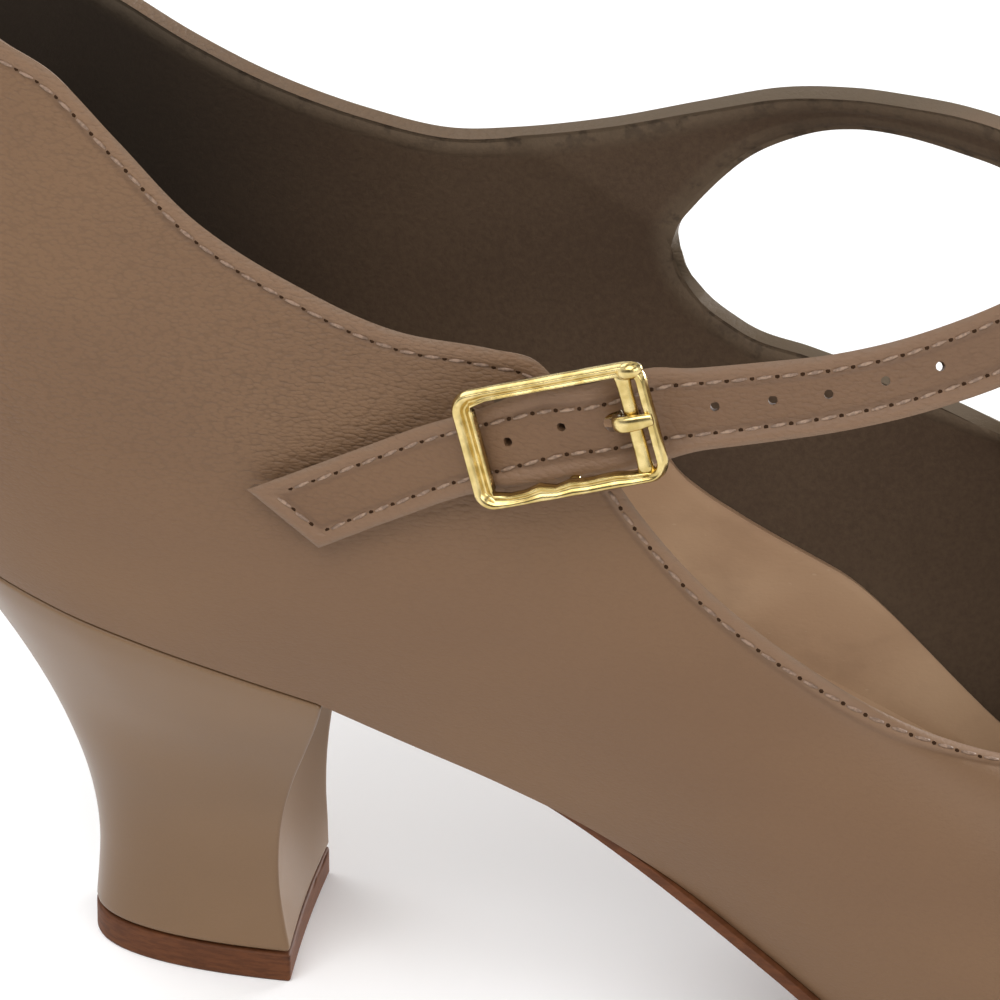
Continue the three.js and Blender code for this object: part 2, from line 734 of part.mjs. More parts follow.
function loft(levels, place) {
  const points = [];
  const faces = [];
  const count = levels[0].length;
  levels.forEach((level, k) => level.forEach((p) => points.push(place(p, k))));
  for (let k = 0; k + 1 < levels.length; k += 1) {
    for (let i = 0; i < count; i += 1) {
      const n = (i + 1) % count;
      quad(faces, k * count + i, k * count + n, (k + 1) * count + n, (k + 1) * count + i);
    }
  }
  for (const k of [0, levels.length - 1]) {
    const centre = vec(0, 0, 0);
    for (let i = 0; i < count; i += 1) centre.add(points[k * count + i]);
    const middle = points.length;
    points.push(centre.divideScalar(count));
    for (let i = 0; i < count; i += 1) {
      const n = (i + 1) % count;
      const [a, b] = [k * count + i, k * count + n];
      faces.push(k === 0 ? [middle, b, a] : [middle, a, b]);
    }
  }
  return closed(points, faces);
}

function heelBlock() {
  const count = 13;
  const levels = [];
  const seat = seatRing();
  for (let k = 0; k <= count; k += 1) {
    const up = k / count;
    const ring = heelRing(up);
    const blend = smooth(THREE.MathUtils.clamp((up - 0.55) / 0.45, 0, 1));
    levels.push(
      ring.map(([x, y], i) => [
        x,
        THREE.MathUtils.lerp(y, (seat[i][1] * heelAt(up).half) / heelAt(1).half, blend),
      ]),
    );
  }
  const floor = LIFT + GAP;
  return loft(levels, ([x, y], k) => {
    const ceiling = HEEL_HEIGHT - (SEAT_DROP * x) / SEAT_LENGTH - GAP;
    return vec(x, y, floor + ((ceiling - floor) * k) / count);
  });
}

function heelLift() {
  const ring = heelRing(0);
  return loft([ring, ring], ([x, y], k) => vec(x, y, k * LIFT));
}

// Strap.

// The strap's outer face at a run: upper and lower edge.
function strapEdges(run) {
  const { a, b } = bandEdges(run);
  const free = run <= CLASP - 1;
  if (free) return { a, b };
  const settle = smooth(THREE.MathUtils.clamp(run - (CLASP - 1), 0, 1));
  const off = standAt(run).stand * STRAP + STRAP;
  for (const p of [a, b]) {
    const wall = wallAt(p.x, p.z);
    p.y = THREE.MathUtils.lerp(p.y, wall.y - off, settle);
  }
  return { a, b };
}

const LAST_RUN = BAND[BAND.length - 1].run;

// Frame of axes on the strap at a run: along towards the toe, across upward, out.
function strapFrame(run) {
  const step = 0.35;
  const middle = (where) => {
    const { a, b } = strapEdges(where);
    return mix(a, b, 0.5);
  };
  const centre = middle(run);
  const along = middle(run - step).sub(middle(run + step)).normalize();
  const { a, b } = strapEdges(run);
  const across = a.sub(b);
  across.addScaledVector(along, -across.dot(along)).normalize();
  const out = along.clone().cross(across).normalize();
  if (out.y > 0) out.negate();
  return { centre, along, across, out };
}

function toWorld(frame, p) {
  return frame.centre
    .clone()
    .addScaledVector(frame.along, p.x)
    .addScaledVector(frame.across, p.y)
    .addScaledVector(frame.out, p.z);
}

// An upright cylinder or slot in a strap frame, for cutting.
function punch(frame, length, radius, sides = 12) {
  const shape = new THREE.Shape();
  shape.absarc(length / 2, 0, radius, -Math.PI / 2, Math.PI / 2, false);
  shape.absarc(-length / 2, 0, radius, Math.PI / 2, (3 * Math.PI) / 2, false);
  return extruded(frame, shape, -4, 2, sides);
}

// A flat shape extruded between two heights of a frame.
function extruded(frame, shape, low, high, curveSegments = 8) {
  const geometry = new THREE.ExtrudeGeometry(shape, {
    depth: high - low,
    bevelEnabled: false,
    curveSegments,
  });
  const position = geometry.getAttribute("position");
  const keys = new Map();
  const points = [];
  const ids = [];
  for (let i = 0; i < position.count; i += 1) {
    const p = vec(position.getX(i), position.getY(i), position.getZ(i) + low);
    const key = [p.x, p.y, p.z].map((v) => v.toFixed(4)).join(",");
    if (!keys.has(key)) {
      keys.set(key, points.length);
      points.push(toWorld(frame, p));
    }
    ids.push(keys.get(key));
  }
  const faces = [];
  for (let i = 0; i < ids.length; i += 3) {
    const [a, b, c] = [ids[i], ids[i + 1], ids[i + 2]];
    if (a !== b && b !== c && c !== a) faces.push([a, b, c]);
  }
  return solidFrom(closed(points, faces));
}

// Run of the strap at a level distance from the buckle's middle, towards the toe.
function runAt(distance) {
  let run = BUCKLE_RUN;
  let rest = Math.abs(distance);
  const step = distance > 0 ? -0.02 : 0.02;
  const middle = (where) => {
    const { a, b } = strapEdges(where);
    return mix(a, b, 0.5);
  };
  let last = middle(run);
  while (rest > 0) {
    const next = middle(run + step);
    rest -= next.distanceTo(last);
    last = next;
    run += step;
  }
  return run;
}

const PRONG_AT = 6.3; // buckle middle to the hole that holds the prong

function strap() {
  const rows = 44;
  const columns = 2;
  const points = [];
  const faces = [];
  const start = SEAM + 0.04;
  for (let r = 0; r <= rows; r += 1) {
    const run = start + ((LAST_RUN - start) * r) / rows;
    const { a, b } = strapEdges(run);
    for (let j = 0; j <= columns; j += 1) points.push(mix(a, b, j / columns));
  }
  const id = (r, j) => r * (columns + 1) + j;
  for (let r = 0; r < rows; r += 1) {
    for (let j = 0; j < columns; j += 1) {
      fold(points, faces, id(r, j + 1), id(r, j), id(r + 1, j), id(r + 1, j + 1));
    }
  }
  let solid = solidFrom(thicken(points, faces, STRAP));
  const slot = { ...clasp, centre: toWorld(clasp, vec(PRONG_AT + 0.2, 0, 0)) };
  solid = solid.subtract(punch(slot, 1.6, PRONG / 2 + GAP, 4));
  for (const n of [-2, -1, 2, 3, 4, 5, 6]) {
    const frame = strapFrame(runAt(PRONG_AT + n * HOLE_PITCH - (n > 0 ? 1.9 : 0.2)));
    solid = solid.subtract(punch(frame, 0, HOLE_RADIUS, 4));
  }
  return bodyFrom(solid);
}

// Buckle.

const clasp = strapFrame(BUCKLE_RUN);
const FRAME_LOW = 0.7; // underside of the frame over the strap's middle
const BAR_LEVEL = -STRAP - GAP - TAB - GAP - CENTRE_BAR; // centre bar, under the strap

function roundedBox(width, height, radius) {
  const shape = new THREE.Shape();
  const [x, y] = [width / 2, height / 2];
  shape.moveTo(-x + radius, -y);
  shape.lineTo(x - radius, -y);
  shape.absarc(x - radius, -y + radius, radius, -Math.PI / 2, 0, false);
  shape.lineTo(x, y - radius);
  shape.absarc(x - radius, y - radius, radius, 0, Math.PI / 2, false);
  shape.lineTo(-x + radius, y);
  shape.absarc(-x + radius, y - radius, radius, Math.PI / 2, Math.PI, false);
  shape.lineTo(-x, -y + radius);
  shape.absarc(-x + radius, -y + radius, radius, Math.PI, (3 * Math.PI) / 2, false);
  return shape;
}

function box(frame, x0, x1, y0, y1, z0, z1) {
  const shape = new THREE.Shape();
  shape.moveTo(x0, y0);
  shape.lineTo(x1, y0);
  shape.lineTo(x1, y1);
  shape.lineTo(x0, y1);
  shape.closePath();
  return extruded(frame, shape, z0, z1);
}

// A bar across the buckle with a round section.
function roundBar(frame, length, radius, level) {
  const side = {
    centre: toWorld(frame, vec(0, -length / 2, level)),
    along: frame.along,
    across: frame.out,
    out: frame.across,
  };
  const shape = new THREE.Shape();
  shape.absarc(0, 0, radius, 0, 2 * Math.PI, false);
  return extruded(side, shape, 0, length, 8);
}

const POST = 1.1; // thickness of the posts that carry the centre bar
const END_BAR = 1.6; // the two bars at the toe end of the frame
const END_SLOT = 0.5;

function buckleFrame() {
  const high = FRAME_LOW + BUCKLE_DEPTH;
  const outer = extruded(
    clasp,
    roundedBox(BUCKLE_LENGTH, BUCKLE_WIDTH, 2.2),
    FRAME_LOW,
    high,
    4,
  );
  const inside = BUCKLE_WIDTH - 2 * BUCKLE_BAR;
  const left = -BUCKLE_LENGTH / 2 + BUCKLE_BAR + 0.2;
  const right = BUCKLE_LENGTH / 2 - 2 * END_BAR - END_SLOT;
  const hole = new THREE.Shape();
  const [y, r] = [inside / 2, 0.9];
  hole.moveTo(left + r, -y);
  hole.lineTo(right, -y);
  hole.lineTo(right, y);
  hole.lineTo(left + r, y);
  hole.absarc(left + r, y - r, r, Math.PI / 2, Math.PI, false);
  hole.absarc(left + r, -y + r, r, Math.PI, (3 * Math.PI) / 2, false);
  let solid = outer.subtract(extruded(clasp, hole, FRAME_LOW - 1, high + 1, 3));
  const slot = right + END_BAR;
  solid = solid.subtract(
    box(clasp, slot, slot + END_SLOT, -y, y, FRAME_LOW - 1, high + 1),
  );
  for (const side of [-1, 1]) {
    const near = side * (inside / 2 + 0.05);
    const far = side * (inside / 2 + 0.05 + POST);
    const [y0, y1] = [Math.min(near, far), Math.max(near, far)];
    solid = solid.add(
      box(clasp, -0.7, 0.7, y0, y1, BAR_LEVEL - CENTRE_BAR - 0.1, FRAME_LOW + 0.3),
    );
  }
  const length = inside + POST;
  return bodyFrom(solid.add(roundBar(clasp, length, CENTRE_BAR, BAR_LEVEL)));
}

// The prong: under the strap from the centre bar, up through the hole, over the end bar.
function buckleProng() {
  const w = PRONG / 2;
  const low = -STRAP - GAP - 1.2;
  const high = FRAME_LOW + BUCKLE_DEPTH + GAP;
  const tip = BUCKLE_LENGTH / 2 - 0.3;
  const at = PRONG_AT;
  const shape = new THREE.Shape();
  shape.moveTo(CENTRE_BAR + TAB + 2 * GAP + 0.3, low);
  shape.lineTo(at + 0.45, low);
  shape.lineTo(at + 0.5, high);
  shape.lineTo(tip, high);
  shape.lineTo(tip, high + 0.9);
  shape.lineTo(at + 0.4, high + 0.9);
  shape.lineTo(at - 0.4, high + 0.2);
  shape.lineTo(at - 0.5, low + 0.8);
  shape.lineTo(CENTRE_BAR + TAB + 2 * GAP + 0.3, low + 0.8);
  shape.closePath();
  const side = {
    centre: toWorld(clasp, vec(0, w, 0)),
    along: clasp.along,
    across: clasp.out,
    out: clasp.across.clone().negate(),
  };
  return bodyFrom(extruded(side, shape, 0, PRONG));
}

// The tab that holds the centre bar, folded round it and lying on the quarter.
function buckleTab() {
  const inner = CENTRE_BAR + GAP;
  const outer = inner + TAB;
  const tail = -7.5;
  const shape = new THREE.Shape();
  shape.moveTo(tail, -outer + 0.15);
  shape.lineTo(-2, -outer);
  shape.lineTo(0, -outer);
  shape.absarc(0, 0, outer, -Math.PI / 2, Math.PI / 2, false);
  shape.lineTo(-1.2, outer);
  shape.lineTo(-4.2, -inner + TAB + 0.1);
  shape.lineTo(tail, -inner + TAB * 0.7);
  shape.closePath();
  const hole = new THREE.Path();
  hole.moveTo(-1.8, -inner);
  hole.lineTo(0, -inner);
  hole.absarc(0, 0, inner, -Math.PI / 2, Math.PI / 2, false);
  hole.lineTo(-0.6, inner);
  hole.closePath();
  shape.holes.push(hole);
  const half = STRAP_WIDTH / 2 - 0.9;
  const side = {
    centre: toWorld(clasp, vec(0, half, BAR_LEVEL)),
    along: clasp.along,
    across: clasp.out,
    out: clasp.across.clone().negate(),
  };
  return bodyFrom(extruded(side, shape, 0, 2 * half, 6));
}

// The model.

const MATERIALS = {
  leather: { color: 0x8a6d56, roughness: 0.55, metalness: 0 },
  insole: { color: 0x9d8066, roughness: 0.75, metalness: 0 },
  sole: { color: 0x6b4027, roughness: 0.7, metalness: 0 },
  heel: { color: 0x8b6f5a, roughness: 0.38, metalness: 0 },
  metal: { color: 0xd9b878, roughness: 0.22, metalness: 1 },
};

const shoe = new THREE.Group();
shoe.name = "dance_shoe";

function piece(name, body, material) {
  const mesh = new THREE.Mesh(
    geometryOf(body.points, body.faces),
    new THREE.MeshStandardMaterial(MATERIALS[material]),
  );
  mesh.name = name;
  shoe.add(mesh);
}

piece("upper", upper(), "leather");
piece("outsole", outsole(), "sole");
piece("insole", insole(), "insole");
piece("heel_block", heelBlock(), "heel");
piece("heel_lift", heelLift(), "sole");
piece("strap", strap(), "leather");
piece("buckle_frame", buckleFrame(), "metal");
piece("buckle_prong", buckleProng(), "metal");
piece("buckle_tab", buckleTab(), "leather");

export default shoe;
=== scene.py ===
"""Looks of a right dance shoe with a covered block heel and one buckled strap.

Everything is in the model's own frame: +X to the toe, +Y to the inner side, +Z up, with
the origin on the floor under the middle of the heel's top piece. The tables are in
millimetres, with x measured from the back of the heel seat.
"""

import math

import bmesh
import bpy
from mathutils import Matrix, Vector
from mathutils.bvhtree import BVHTree
from mathutils.kdtree import KDTree


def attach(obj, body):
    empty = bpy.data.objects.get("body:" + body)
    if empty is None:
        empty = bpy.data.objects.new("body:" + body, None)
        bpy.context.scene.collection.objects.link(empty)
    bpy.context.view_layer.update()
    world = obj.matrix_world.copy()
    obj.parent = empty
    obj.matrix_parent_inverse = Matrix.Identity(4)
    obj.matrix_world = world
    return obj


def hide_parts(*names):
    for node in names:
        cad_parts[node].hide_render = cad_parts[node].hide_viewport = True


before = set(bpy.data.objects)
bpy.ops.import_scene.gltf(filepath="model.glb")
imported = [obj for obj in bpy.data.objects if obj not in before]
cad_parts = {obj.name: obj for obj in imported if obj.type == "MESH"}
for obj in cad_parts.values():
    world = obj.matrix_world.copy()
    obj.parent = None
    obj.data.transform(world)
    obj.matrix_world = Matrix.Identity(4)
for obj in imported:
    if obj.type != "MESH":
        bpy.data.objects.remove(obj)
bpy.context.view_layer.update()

MM = 0.001
LENGTH = 225.0
HEEL_HEIGHT = 54.3
SEAT_LENGTH = 46.0
SEAT_DROP = 13.2
ORIGIN = 29.5  # x of the model's origin in the tables
WALL = 1.8
THIN_WALL = 1.4  # the upper as it shows at its rims
SOLE = 2.0
SOLE_WAIST = 1.3
SOLE_EDGE = 0.7
INSOLE = 2.0
GAP = 0.3
LIFT = 3.4
STRAP = 1.8
STRAP_INSET = 1.6  # from the strap's edge to its stitches
HOLE_PITCH = 5.9
HOLE_RADIUS = 0.5
STITCH_PITCH = 2.6
STITCH_INSET = 2.0
BUCKLE_LENGTH = 21.7
BUCKLE_WIDTH = 13.4
FRAME_LOW = 0.7
FRAME_HIGH = 2.2
PRONG_AT = 6.3  # from the buckle's middle to the strap's hole
BUCKLE_RUN = 16.07
CLASP = 16.0  # run from which the strap lies over the quarter
SEAM = 7.5  # run of the seam between the wing and the strap
ROOT_BACK = 26 / 60
ROOT_FRONT = 31 / 60

# at, x, outer y, inner y: the sole line from the heel's back (0) to the toe (1)
OUTLINE = (
    (0, 0, 0, 0), (0.05, 2.6, 8.9, 8.9), (0.1, 8.5, 15.2, 15.2), (0.16, 18, 19.2, 19),
    (0.22, 27.5, 20.5, 20), (0.28, 37.5, 20.7, 19.8), (0.34, 47, 20.5, 19), (0.4, 57, 20.4, 17.9),
    (0.45, 65, 20.8, 17.1), (0.5, 73.5, 21.8, 16.8), (0.55, 83, 23.6, 17.2), (0.6, 94, 26.4, 19),
    (0.65, 107, 30, 22.9), (0.7, 122, 33.8, 28.4), (0.75, 138, 37, 33.9), (0.8, 156, 38.6, 37.1),
    (0.845, 175, 36.4, 36.6), (0.885, 192, 30.4, 32.8), (0.92, 206, 21.6, 26.6),
    (0.95, 216, 12.4, 19.4), (0.975, 222.4, 4.4, 12), (1, 225, -4, 4),
)
# x, outer z, inner z: height of the sole line in front of the heel
ARCH = (
    (46, 41.1, 41.1), (56, 37, 39.2), (66, 33.4, 37.4), (76, 29.6, 34.6), (86, 24.8, 30.4),
    (96, 18.7, 24.6), (106, 12.4, 17.6), (116, 7.9, 10.8), (126, 4.6, 6), (136, 2.8, 3.2),
    (144, 2.3, 2.3), (154, 2.3, 2.3), (164, 2.3, 2.3), (176, 2.8, 2.8), (192, 4.4, 4.4),
    (208, 6.9, 6.9), (225, 10.2, 10.2),
)
# tour, x, y, z: the topline; tour 0 is the heel's back, 1 the toe, below 0 the inner quarter
TOPLINE = (
    (-0.4833, 70, 21.5, 91.1), (-0.43333, 60, 20.8, 89.4), (-0.39, 53, 19.9, 89.2),
    (-0.34, 44.5, 18.9, 91.3), (-0.28, 35, 17.4, 95.2), (-0.22, 26.6, 15.8, 100.2),
    (-0.16, 18.8, 14, 106), (-0.1, 11.4, 11.8, 110.8), (-0.05, 5.8, 7.4, 113.6), (0, 3, 0, 114.4),
    (0.05, 5.8, -7.6, 114), (0.1, 11.2, -12, 112.6), (0.16, 18, -14.6, 110.2),
    (0.22, 25, -16.4, 104), (0.28, 33.5, -17.8, 96), (0.34, 44, -19.2, 90.4),
    (0.4, 55.5, -20.2, 86.4), (0.44, 64.5, -20.8, 85.8), (0.465, 69.6, -21.2, 85),
    (0.49, 73.2, -21.9, 81), (0.52, 76.6, -22.8, 75.6), (0.56, 80.8, -23.8, 69.6),
    (0.61, 88.2, -24.9, 61.8), (0.67, 98.6, -25.6, 54.2), (0.73, 109, -25.2, 48.2),
    (0.79, 119.3, -21.9, 43.4), (0.85, 129, -16.6, 40.2), (0.9, 135.6, -11.2, 38.4),
    (0.94, 139.6, -6, 37.6), (0.97, 141.4, -1.8, 37.4), (1, 142, 2.6, 37.6), (1.03, 141, 7, 38.4),
    (1.06, 138.6, 11.2, 39.6), (1.1, 134.2, 15.8, 41.8), (1.15, 127.4, 20.4, 47),
    (1.21, 118.4, 24.2, 52.8), (1.27, 109.4, 26, 56.8), (1.33, 100.6, 26.2, 60),
    (1.39, 91.6, 25.4, 63.2), (1.44, 84, 24.1, 66.6), (1.465, 79.7, 23.1, 70.9),
    (1.4755, 78, 22.6, 73.9), (1.48333, 77.4, 22.4, 77.4), (1.5, 77.7, 22.5, 81),
)
# tour, low out, low up, pull, high out, high down: swell of the wall
SWELL = (
    (-0.9, 1.6, 0.56, 0.52, 0, 0.12), (-0.8, 2.4, 0.52, 0.46, 0.2, 0.1),
    (-0.7, 4, 0.46, 0.3, 1.2, 0.16), (-0.6, 5.4, 0.4, 0.12, 2, 0.28),
    (-0.5, 6.2, 0.36, 0.02, 2.6, 0.34), (-0.4, 6.4, 0.34, 0, 3.2, 0.36),
    (-0.3, 6.4, 0.32, 0, 4.4, 0.36), (-0.15, 6.4, 0.3, 0, 6, 0.38), (0, 6.2, 0.3, 0, 6.6, 0.4),
    (0.15, 6.4, 0.3, 0, 6, 0.38), (0.3, 6.4, 0.32, 0, 4.8, 0.36), (0.4, 6.6, 0.34, 0, 4, 0.36),
    (0.5, 6.6, 0.36, 0.02, 3.4, 0.36), (0.6, 6, 0.4, 0.12, 2.4, 0.28),
    (0.7, 4.2, 0.46, 0.3, 1.4, 0.16), (0.8, 2.4, 0.52, 0.46, 0.4, 0.1),
    (0.9, 1.6, 0.56, 0.54, 0, 0.12), (1, 1, 0.56, 0.56, 0, 0.14),
)
# run, upper edge x, y, z, lower edge x, y, z: the strap from its root to its free end
BAND = (
    (-1, 52, 19.8, 89.3, 79.2, 23, 71.8),
    (0, 60, 20.8, 89.4, 77.4, 22.4, 77.4),
    (1, 70, 21.5, 91.1, 79.5, 22.9, 81.3),
    (2, 80, 22, 93.8, 84.9, 23.4, 87.1),
    (3, 88.5, 20.9, 96.7, 90.8, 23.2, 90.7),
    (4, 96.3, 18.5, 98.6, 96.2, 21.6, 92.8),
    (5, 102.7, 16, 99.6, 102.2, 19.2, 93.8),
    (6, 109, 14, 99.9, 108.6, 16.9, 93.5),
    (7, 115, 11.3, 99.7, 114.8, 14.1, 92.9),
    (8, 121.6, 6.6, 98.8, 122.2, 8.6, 91),
    (9, 125.4, 0, 97.2, 127, 0.4, 89.2),
    (10, 123.6, -7.2, 95, 125.6, -8.6, 87.2),
    (11, 117.6, -13, 92.6, 119.6, -15.8, 85.2),
    (12, 109, -17.5, 90.1, 111, -21, 83.3),
    (13, 100.8, -20, 88.3, 102.6, -23.4, 81.4),
    (14, 92.1, -22, 87.4, 93.9, -25, 79.9),
    (15, 83.4, -23.6, 86.5, 85.2, -26.2, 78.6),
    (16, 73, -25, 84.7, 75, -26, 76.9),
    (17, 62, -25, 80.6, 64.4, -26, 72.7),
    (18, 52, -25, 75.2, 55.5, -26, 67.6),
    (19, 40, -25, 69.4, 47.6, -26.5, 63.5),
)
# run, stand: how far the strap lies off the quarter, in strap thicknesses
STAND = (
    (14, 1.8), (15, 2), (16, 2.1), (17, 1.6), (17.5, 0.9), (18, 0.4), (19, 0.25),
)
# up, back x, breast x, half width, hollow, lead of the inner breast: from base to seat
HEEL = (
    (0, 17.9, 41.1, 11.4, 0.3, 0), (0.08, 18.2, 40.6, 11.3, 1.2, 0.5),
    (0.2, 18.4, 40.1, 11.3, 2.4, 0.9), (0.34, 17.6, 40.2, 11.7, 3.2, 1),
    (0.48, 15.7, 41, 12.9, 3.6, 0.8), (0.62, 12.8, 42.4, 14.6, 3.6, 0.5),
    (0.75, 9.1, 44, 16.7, 3, 0.2), (0.87, 4.8, 45.4, 18.6, 1.8, 0),
    (0.95, 1.9, 46.2, 19.8, 0.8, 0), (1, 0.5, 46.6, 20.4, 0.2, 0),
)


# Curves through the tables.
def clamp(value, low=0.0, high=1.0):
    return min(max(value, low), high)


def ease(t):
    t = clamp(t)
    return t * t * (3 - 2 * t)


def lerp(a, b, t):
    return a + (b - a) * t


def through(rows, period=0.0):
    """A smooth curve through the rows of a table, along its first column."""
    count = len(rows)

    def fetch(i):
        turn, j = divmod(i, count) if period else (0, min(max(i, 0), count - 1))
        return rows[j][0] + turn * period, rows[j][1:]

    def slopes(i):
        (before, low), (key, row), (after, high) = fetch(i - 1), fetch(i), fetch(i + 1)
        ahead = [(c - b) / (after - key) for b, c in zip(row, high)] if after > key else None
        back = [(b - a) / (key - before) for a, b in zip(low, row)] if key > before else ahead
        weight = (key - before) / (after - before)
        return [lerp(a, b, weight) for a, b in zip(back, ahead or back)]

    spans = count if period else count - 1
    slope_list = [slopes(i) for i in range(spans + 1)]

    def at(where):
        if period:
            where = rows[0][0] + (where - rows[0][0]) % period
        i = 0
        while i < spans - 1 and fetch(i + 1)[0] <= where:
            i += 1
        (key, row), (following, row_next) = fetch(i), fetch(i + 1)
        width = following - key
        s = clamp((where - key) / width)
        near = (1 + 2 * s) * (1 - s) ** 2
        lean, lean_next = s * (1 - s) ** 2 * width, s * s * (s - 1) * width
        return [
            near * a + lean * slope + (1 - near) * b + lean_next * slope_next
            for a, b, slope, slope_next in zip(row, row_next, slope_list[i], slope_list[i + 1])
        ]

    return at


outline_at = through(OUTLINE)
arch_at = through(ARCH)
top_at = through(TOPLINE)
swell_at = through(SWELL, 2.0)
band_at = through(BAND)
stand_at = through(STAND)
heel_at = through(HEEL)


def placed(p):
    """A point of the tables, in metres in the model's frame."""
    return Vector((p.x - ORIGIN, p.y, p.z)) * MM


# The last's own lines.
def bottom(x, side):
    if x <= SEAT_LENGTH:
        return HEEL_HEIGHT - SEAT_DROP * x / SEAT_LENGTH
    outer, inner = arch_at(x)
    return lerp(inner, outer, (side + 1) / 2)


def edge(at, side):
    """Point of the sole line; side 1 is the outer side, -1 the inner."""
    x, outer, inner = outline_at(at)
    return Vector((x, -outer if side > 0 else inner, bottom(x, side)))


def outward(at, side):
    step = 1e-3
    if at < step:
        return Vector((-1, 0, 0))
    if at > 1 - step:
        return Vector((1, 0, 0))
    a = edge(at - step, side)
    b = edge(at + step, side)
    return Vector(((b.y - a.y) * side, -(b.x - a.x) * side, 0)).normalized()


def band_edges(run):
    row = band_at(run)
    return Vector(row[:3]), Vector(row[3:])


def topline(at, side):
    if side < 0 and ROOT_BACK <= at <= ROOT_FRONT:
        upper_corner, lower_corner = band_edges(0)
        return upper_corner.lerp(lower_corner, (at - ROOT_BACK) / (ROOT_FRONT - ROOT_BACK))
    if side < 0:
        return Vector(top_at(2 - at if at > ROOT_FRONT else -at))
    return Vector(top_at(at))


class Column:
    """One column of the wall's outside, from the sole line to the topline."""

    def __init__(self, at, side):
        self.foot = edge(at, side)
        self.head = topline(at, side)
        low_out, low_up, pull, high_out, high_down = swell_at(at * side)
        out = outward(at, side)
        height = self.head.z - self.foot.z
        level = Vector((self.foot.x - self.head.x, self.foot.y - self.head.y, 0))
        self.low = self.foot + out * low_out + Vector((0, 0, low_up * height))
        self.high = self.head + level * pull + out * high_out
        self.high.z -= high_down * height
        self.out = out
        self.lengths = None

    def point(self, t):
        s = 1 - t
        return (
            self.foot * s**3
            + self.low * (3 * s * s * t)
            + self.high * (3 * s * t * t)
            + self.head * t**3
        )

    def tangent(self, t):
        s = 1 - t
        first = (self.low - self.foot) * (s * s)
        second = (self.high - self.low) * (2 * s * t)
        third = (self.head - self.high) * (t * t)
        return (first + second + third).normalized()

    def below_head(self, distance):
        """The parameter that far below the topline, along the wall."""
        if self.lengths is None:
            steps = 80
            points = [self.point(1 - n / steps) for n in range(steps + 1)]
            self.lengths = [0.0]
            for a, b in zip(points, points[1:]):
                self.lengths.append(self.lengths[-1] + (b - a).length)
        steps = len(self.lengths) - 1
        n = 0
        while n < steps - 1 and self.lengths[n + 1] < distance:
            n += 1
        a, b = self.lengths[n], self.lengths[n + 1]
        return 1 - (n + clamp((distance - a) / (b - a))) / steps

    def whole(self):
        self.below_head(0)
        return self.lengths[-1]


def halve(low, high, below, steps=20):
    """The last value between low and high for which below(value) holds."""
    for _ in range(steps):
        middle = (low + high) / 2
        if below(middle):
            low = middle
        else:
            high = middle
    return low


def wall_at(x, z):
    """Point of the outer side's wall at that x and height."""

    def reach(at):
        column = Column(at, 1)
        return column.point(halve(0.0, 1.0, lambda t: column.point(t).z < z))

    return reach(halve(0.05, 0.9, lambda at: reach(at).x < x))


def strap_edges_exact(run):
    """Upper and lower edge of the strap's outer face."""
    upper_edge, lower_edge = band_edges(run)
    if run <= CLASP - 3:
        return upper_edge, lower_edge
    settle = ease(run - (CLASP - 1))
    off = stand_at(run)[0] * STRAP + STRAP
    for p in (upper_edge, lower_edge):
        p.y = lerp(p.y, wall_at(p.x, p.z).y - off, settle)
    return upper_edge, lower_edge


LAST_RUN = BAND[-1][0]
RUN_STEP = 0.1
STRAP_LINES = [
    strap_edges_exact(n * RUN_STEP) for n in range(int(LAST_RUN / RUN_STEP) + 1)
]


def strap_edges(run):
    place = clamp(run / RUN_STEP, 0, len(STRAP_LINES) - 1)
    n = min(int(place), len(STRAP_LINES) - 2)
    t = place - n
    return (
        STRAP_LINES[n][0].lerp(STRAP_LINES[n + 1][0], t),
        STRAP_LINES[n][1].lerp(STRAP_LINES[n + 1][1], t),
    )


def strap_middle(run):
    upper_edge, lower_edge = strap_edges(run)
    return upper_edge.lerp(lower_edge, 0.5)


def strap_axes(run):
    """Centre, along (to the toe), across (up) and out, on the strap at a run."""
    step = 0.35
    centre = strap_middle(run)
    along = (strap_middle(run - step) - strap_middle(run + step)).normalized()
    upper_edge, lower_edge = strap_edges(run)
    across = upper_edge - lower_edge
    across = (across - along * across.dot(along)).normalized()
    out = along.cross(across).normalized()
    if out.y > 0:
        out.negate()
    return centre, along, across, out


def run_at(distance):
    """Run of the strap that far from the buckle's middle, towards the toe."""
    run = BUCKLE_RUN
    rest = abs(distance)
    step = -0.02 if distance > 0 else 0.02
    last = strap_middle(run)
    while rest > 0:
        following = strap_middle(run + step)
        rest -= (following - last).length
        last = following
        run += step
    return run


# Meshes.
def sheet(bm, columns, rows, place):
    """Adds a sheet of quads to bm, each corner where place(column, row) puts it."""
    made = bmesh.ops.create_grid(bm, x_segments=columns, y_segments=rows, size=1)
    for v in made["verts"]:
        i = round((v.co.x + 1) / 2 * columns)
        k = round((v.co.y + 1) / 2 * rows)
        v.co = placed(place(i, k))
    return made["verts"]


def weld(bm, distance=0.0005):
    bmesh.ops.remove_doubles(bm, verts=bm.verts, dist=distance * MM)


def free_edges(bm):
    return [e for e in bm.edges if len(e.link_faces) == 1]


def close_ends(bm):
    """Welds the seams of tubes, fills their ends and turns all faces outward."""
    weld(bm)
    bmesh.ops.holes_fill(bm, edges=free_edges(bm), sides=0)
    bmesh.ops.recalc_face_normals(bm, faces=bm.faces)


def face_up(bm, up):
    """Turns a sheet's faces up, or down where up is -1."""
    bm.normal_update()
    if sum(f.normal.z for f in bm.faces) * up < 0:
        bmesh.ops.reverse_faces(bm, faces=bm.faces)


def round_bar(i, sides):
    """Cosine and sine of corner i of a bar with that many sides."""
    angle = 2 * math.pi * (i % sides) / sides
    return math.cos(angle), math.sin(angle)


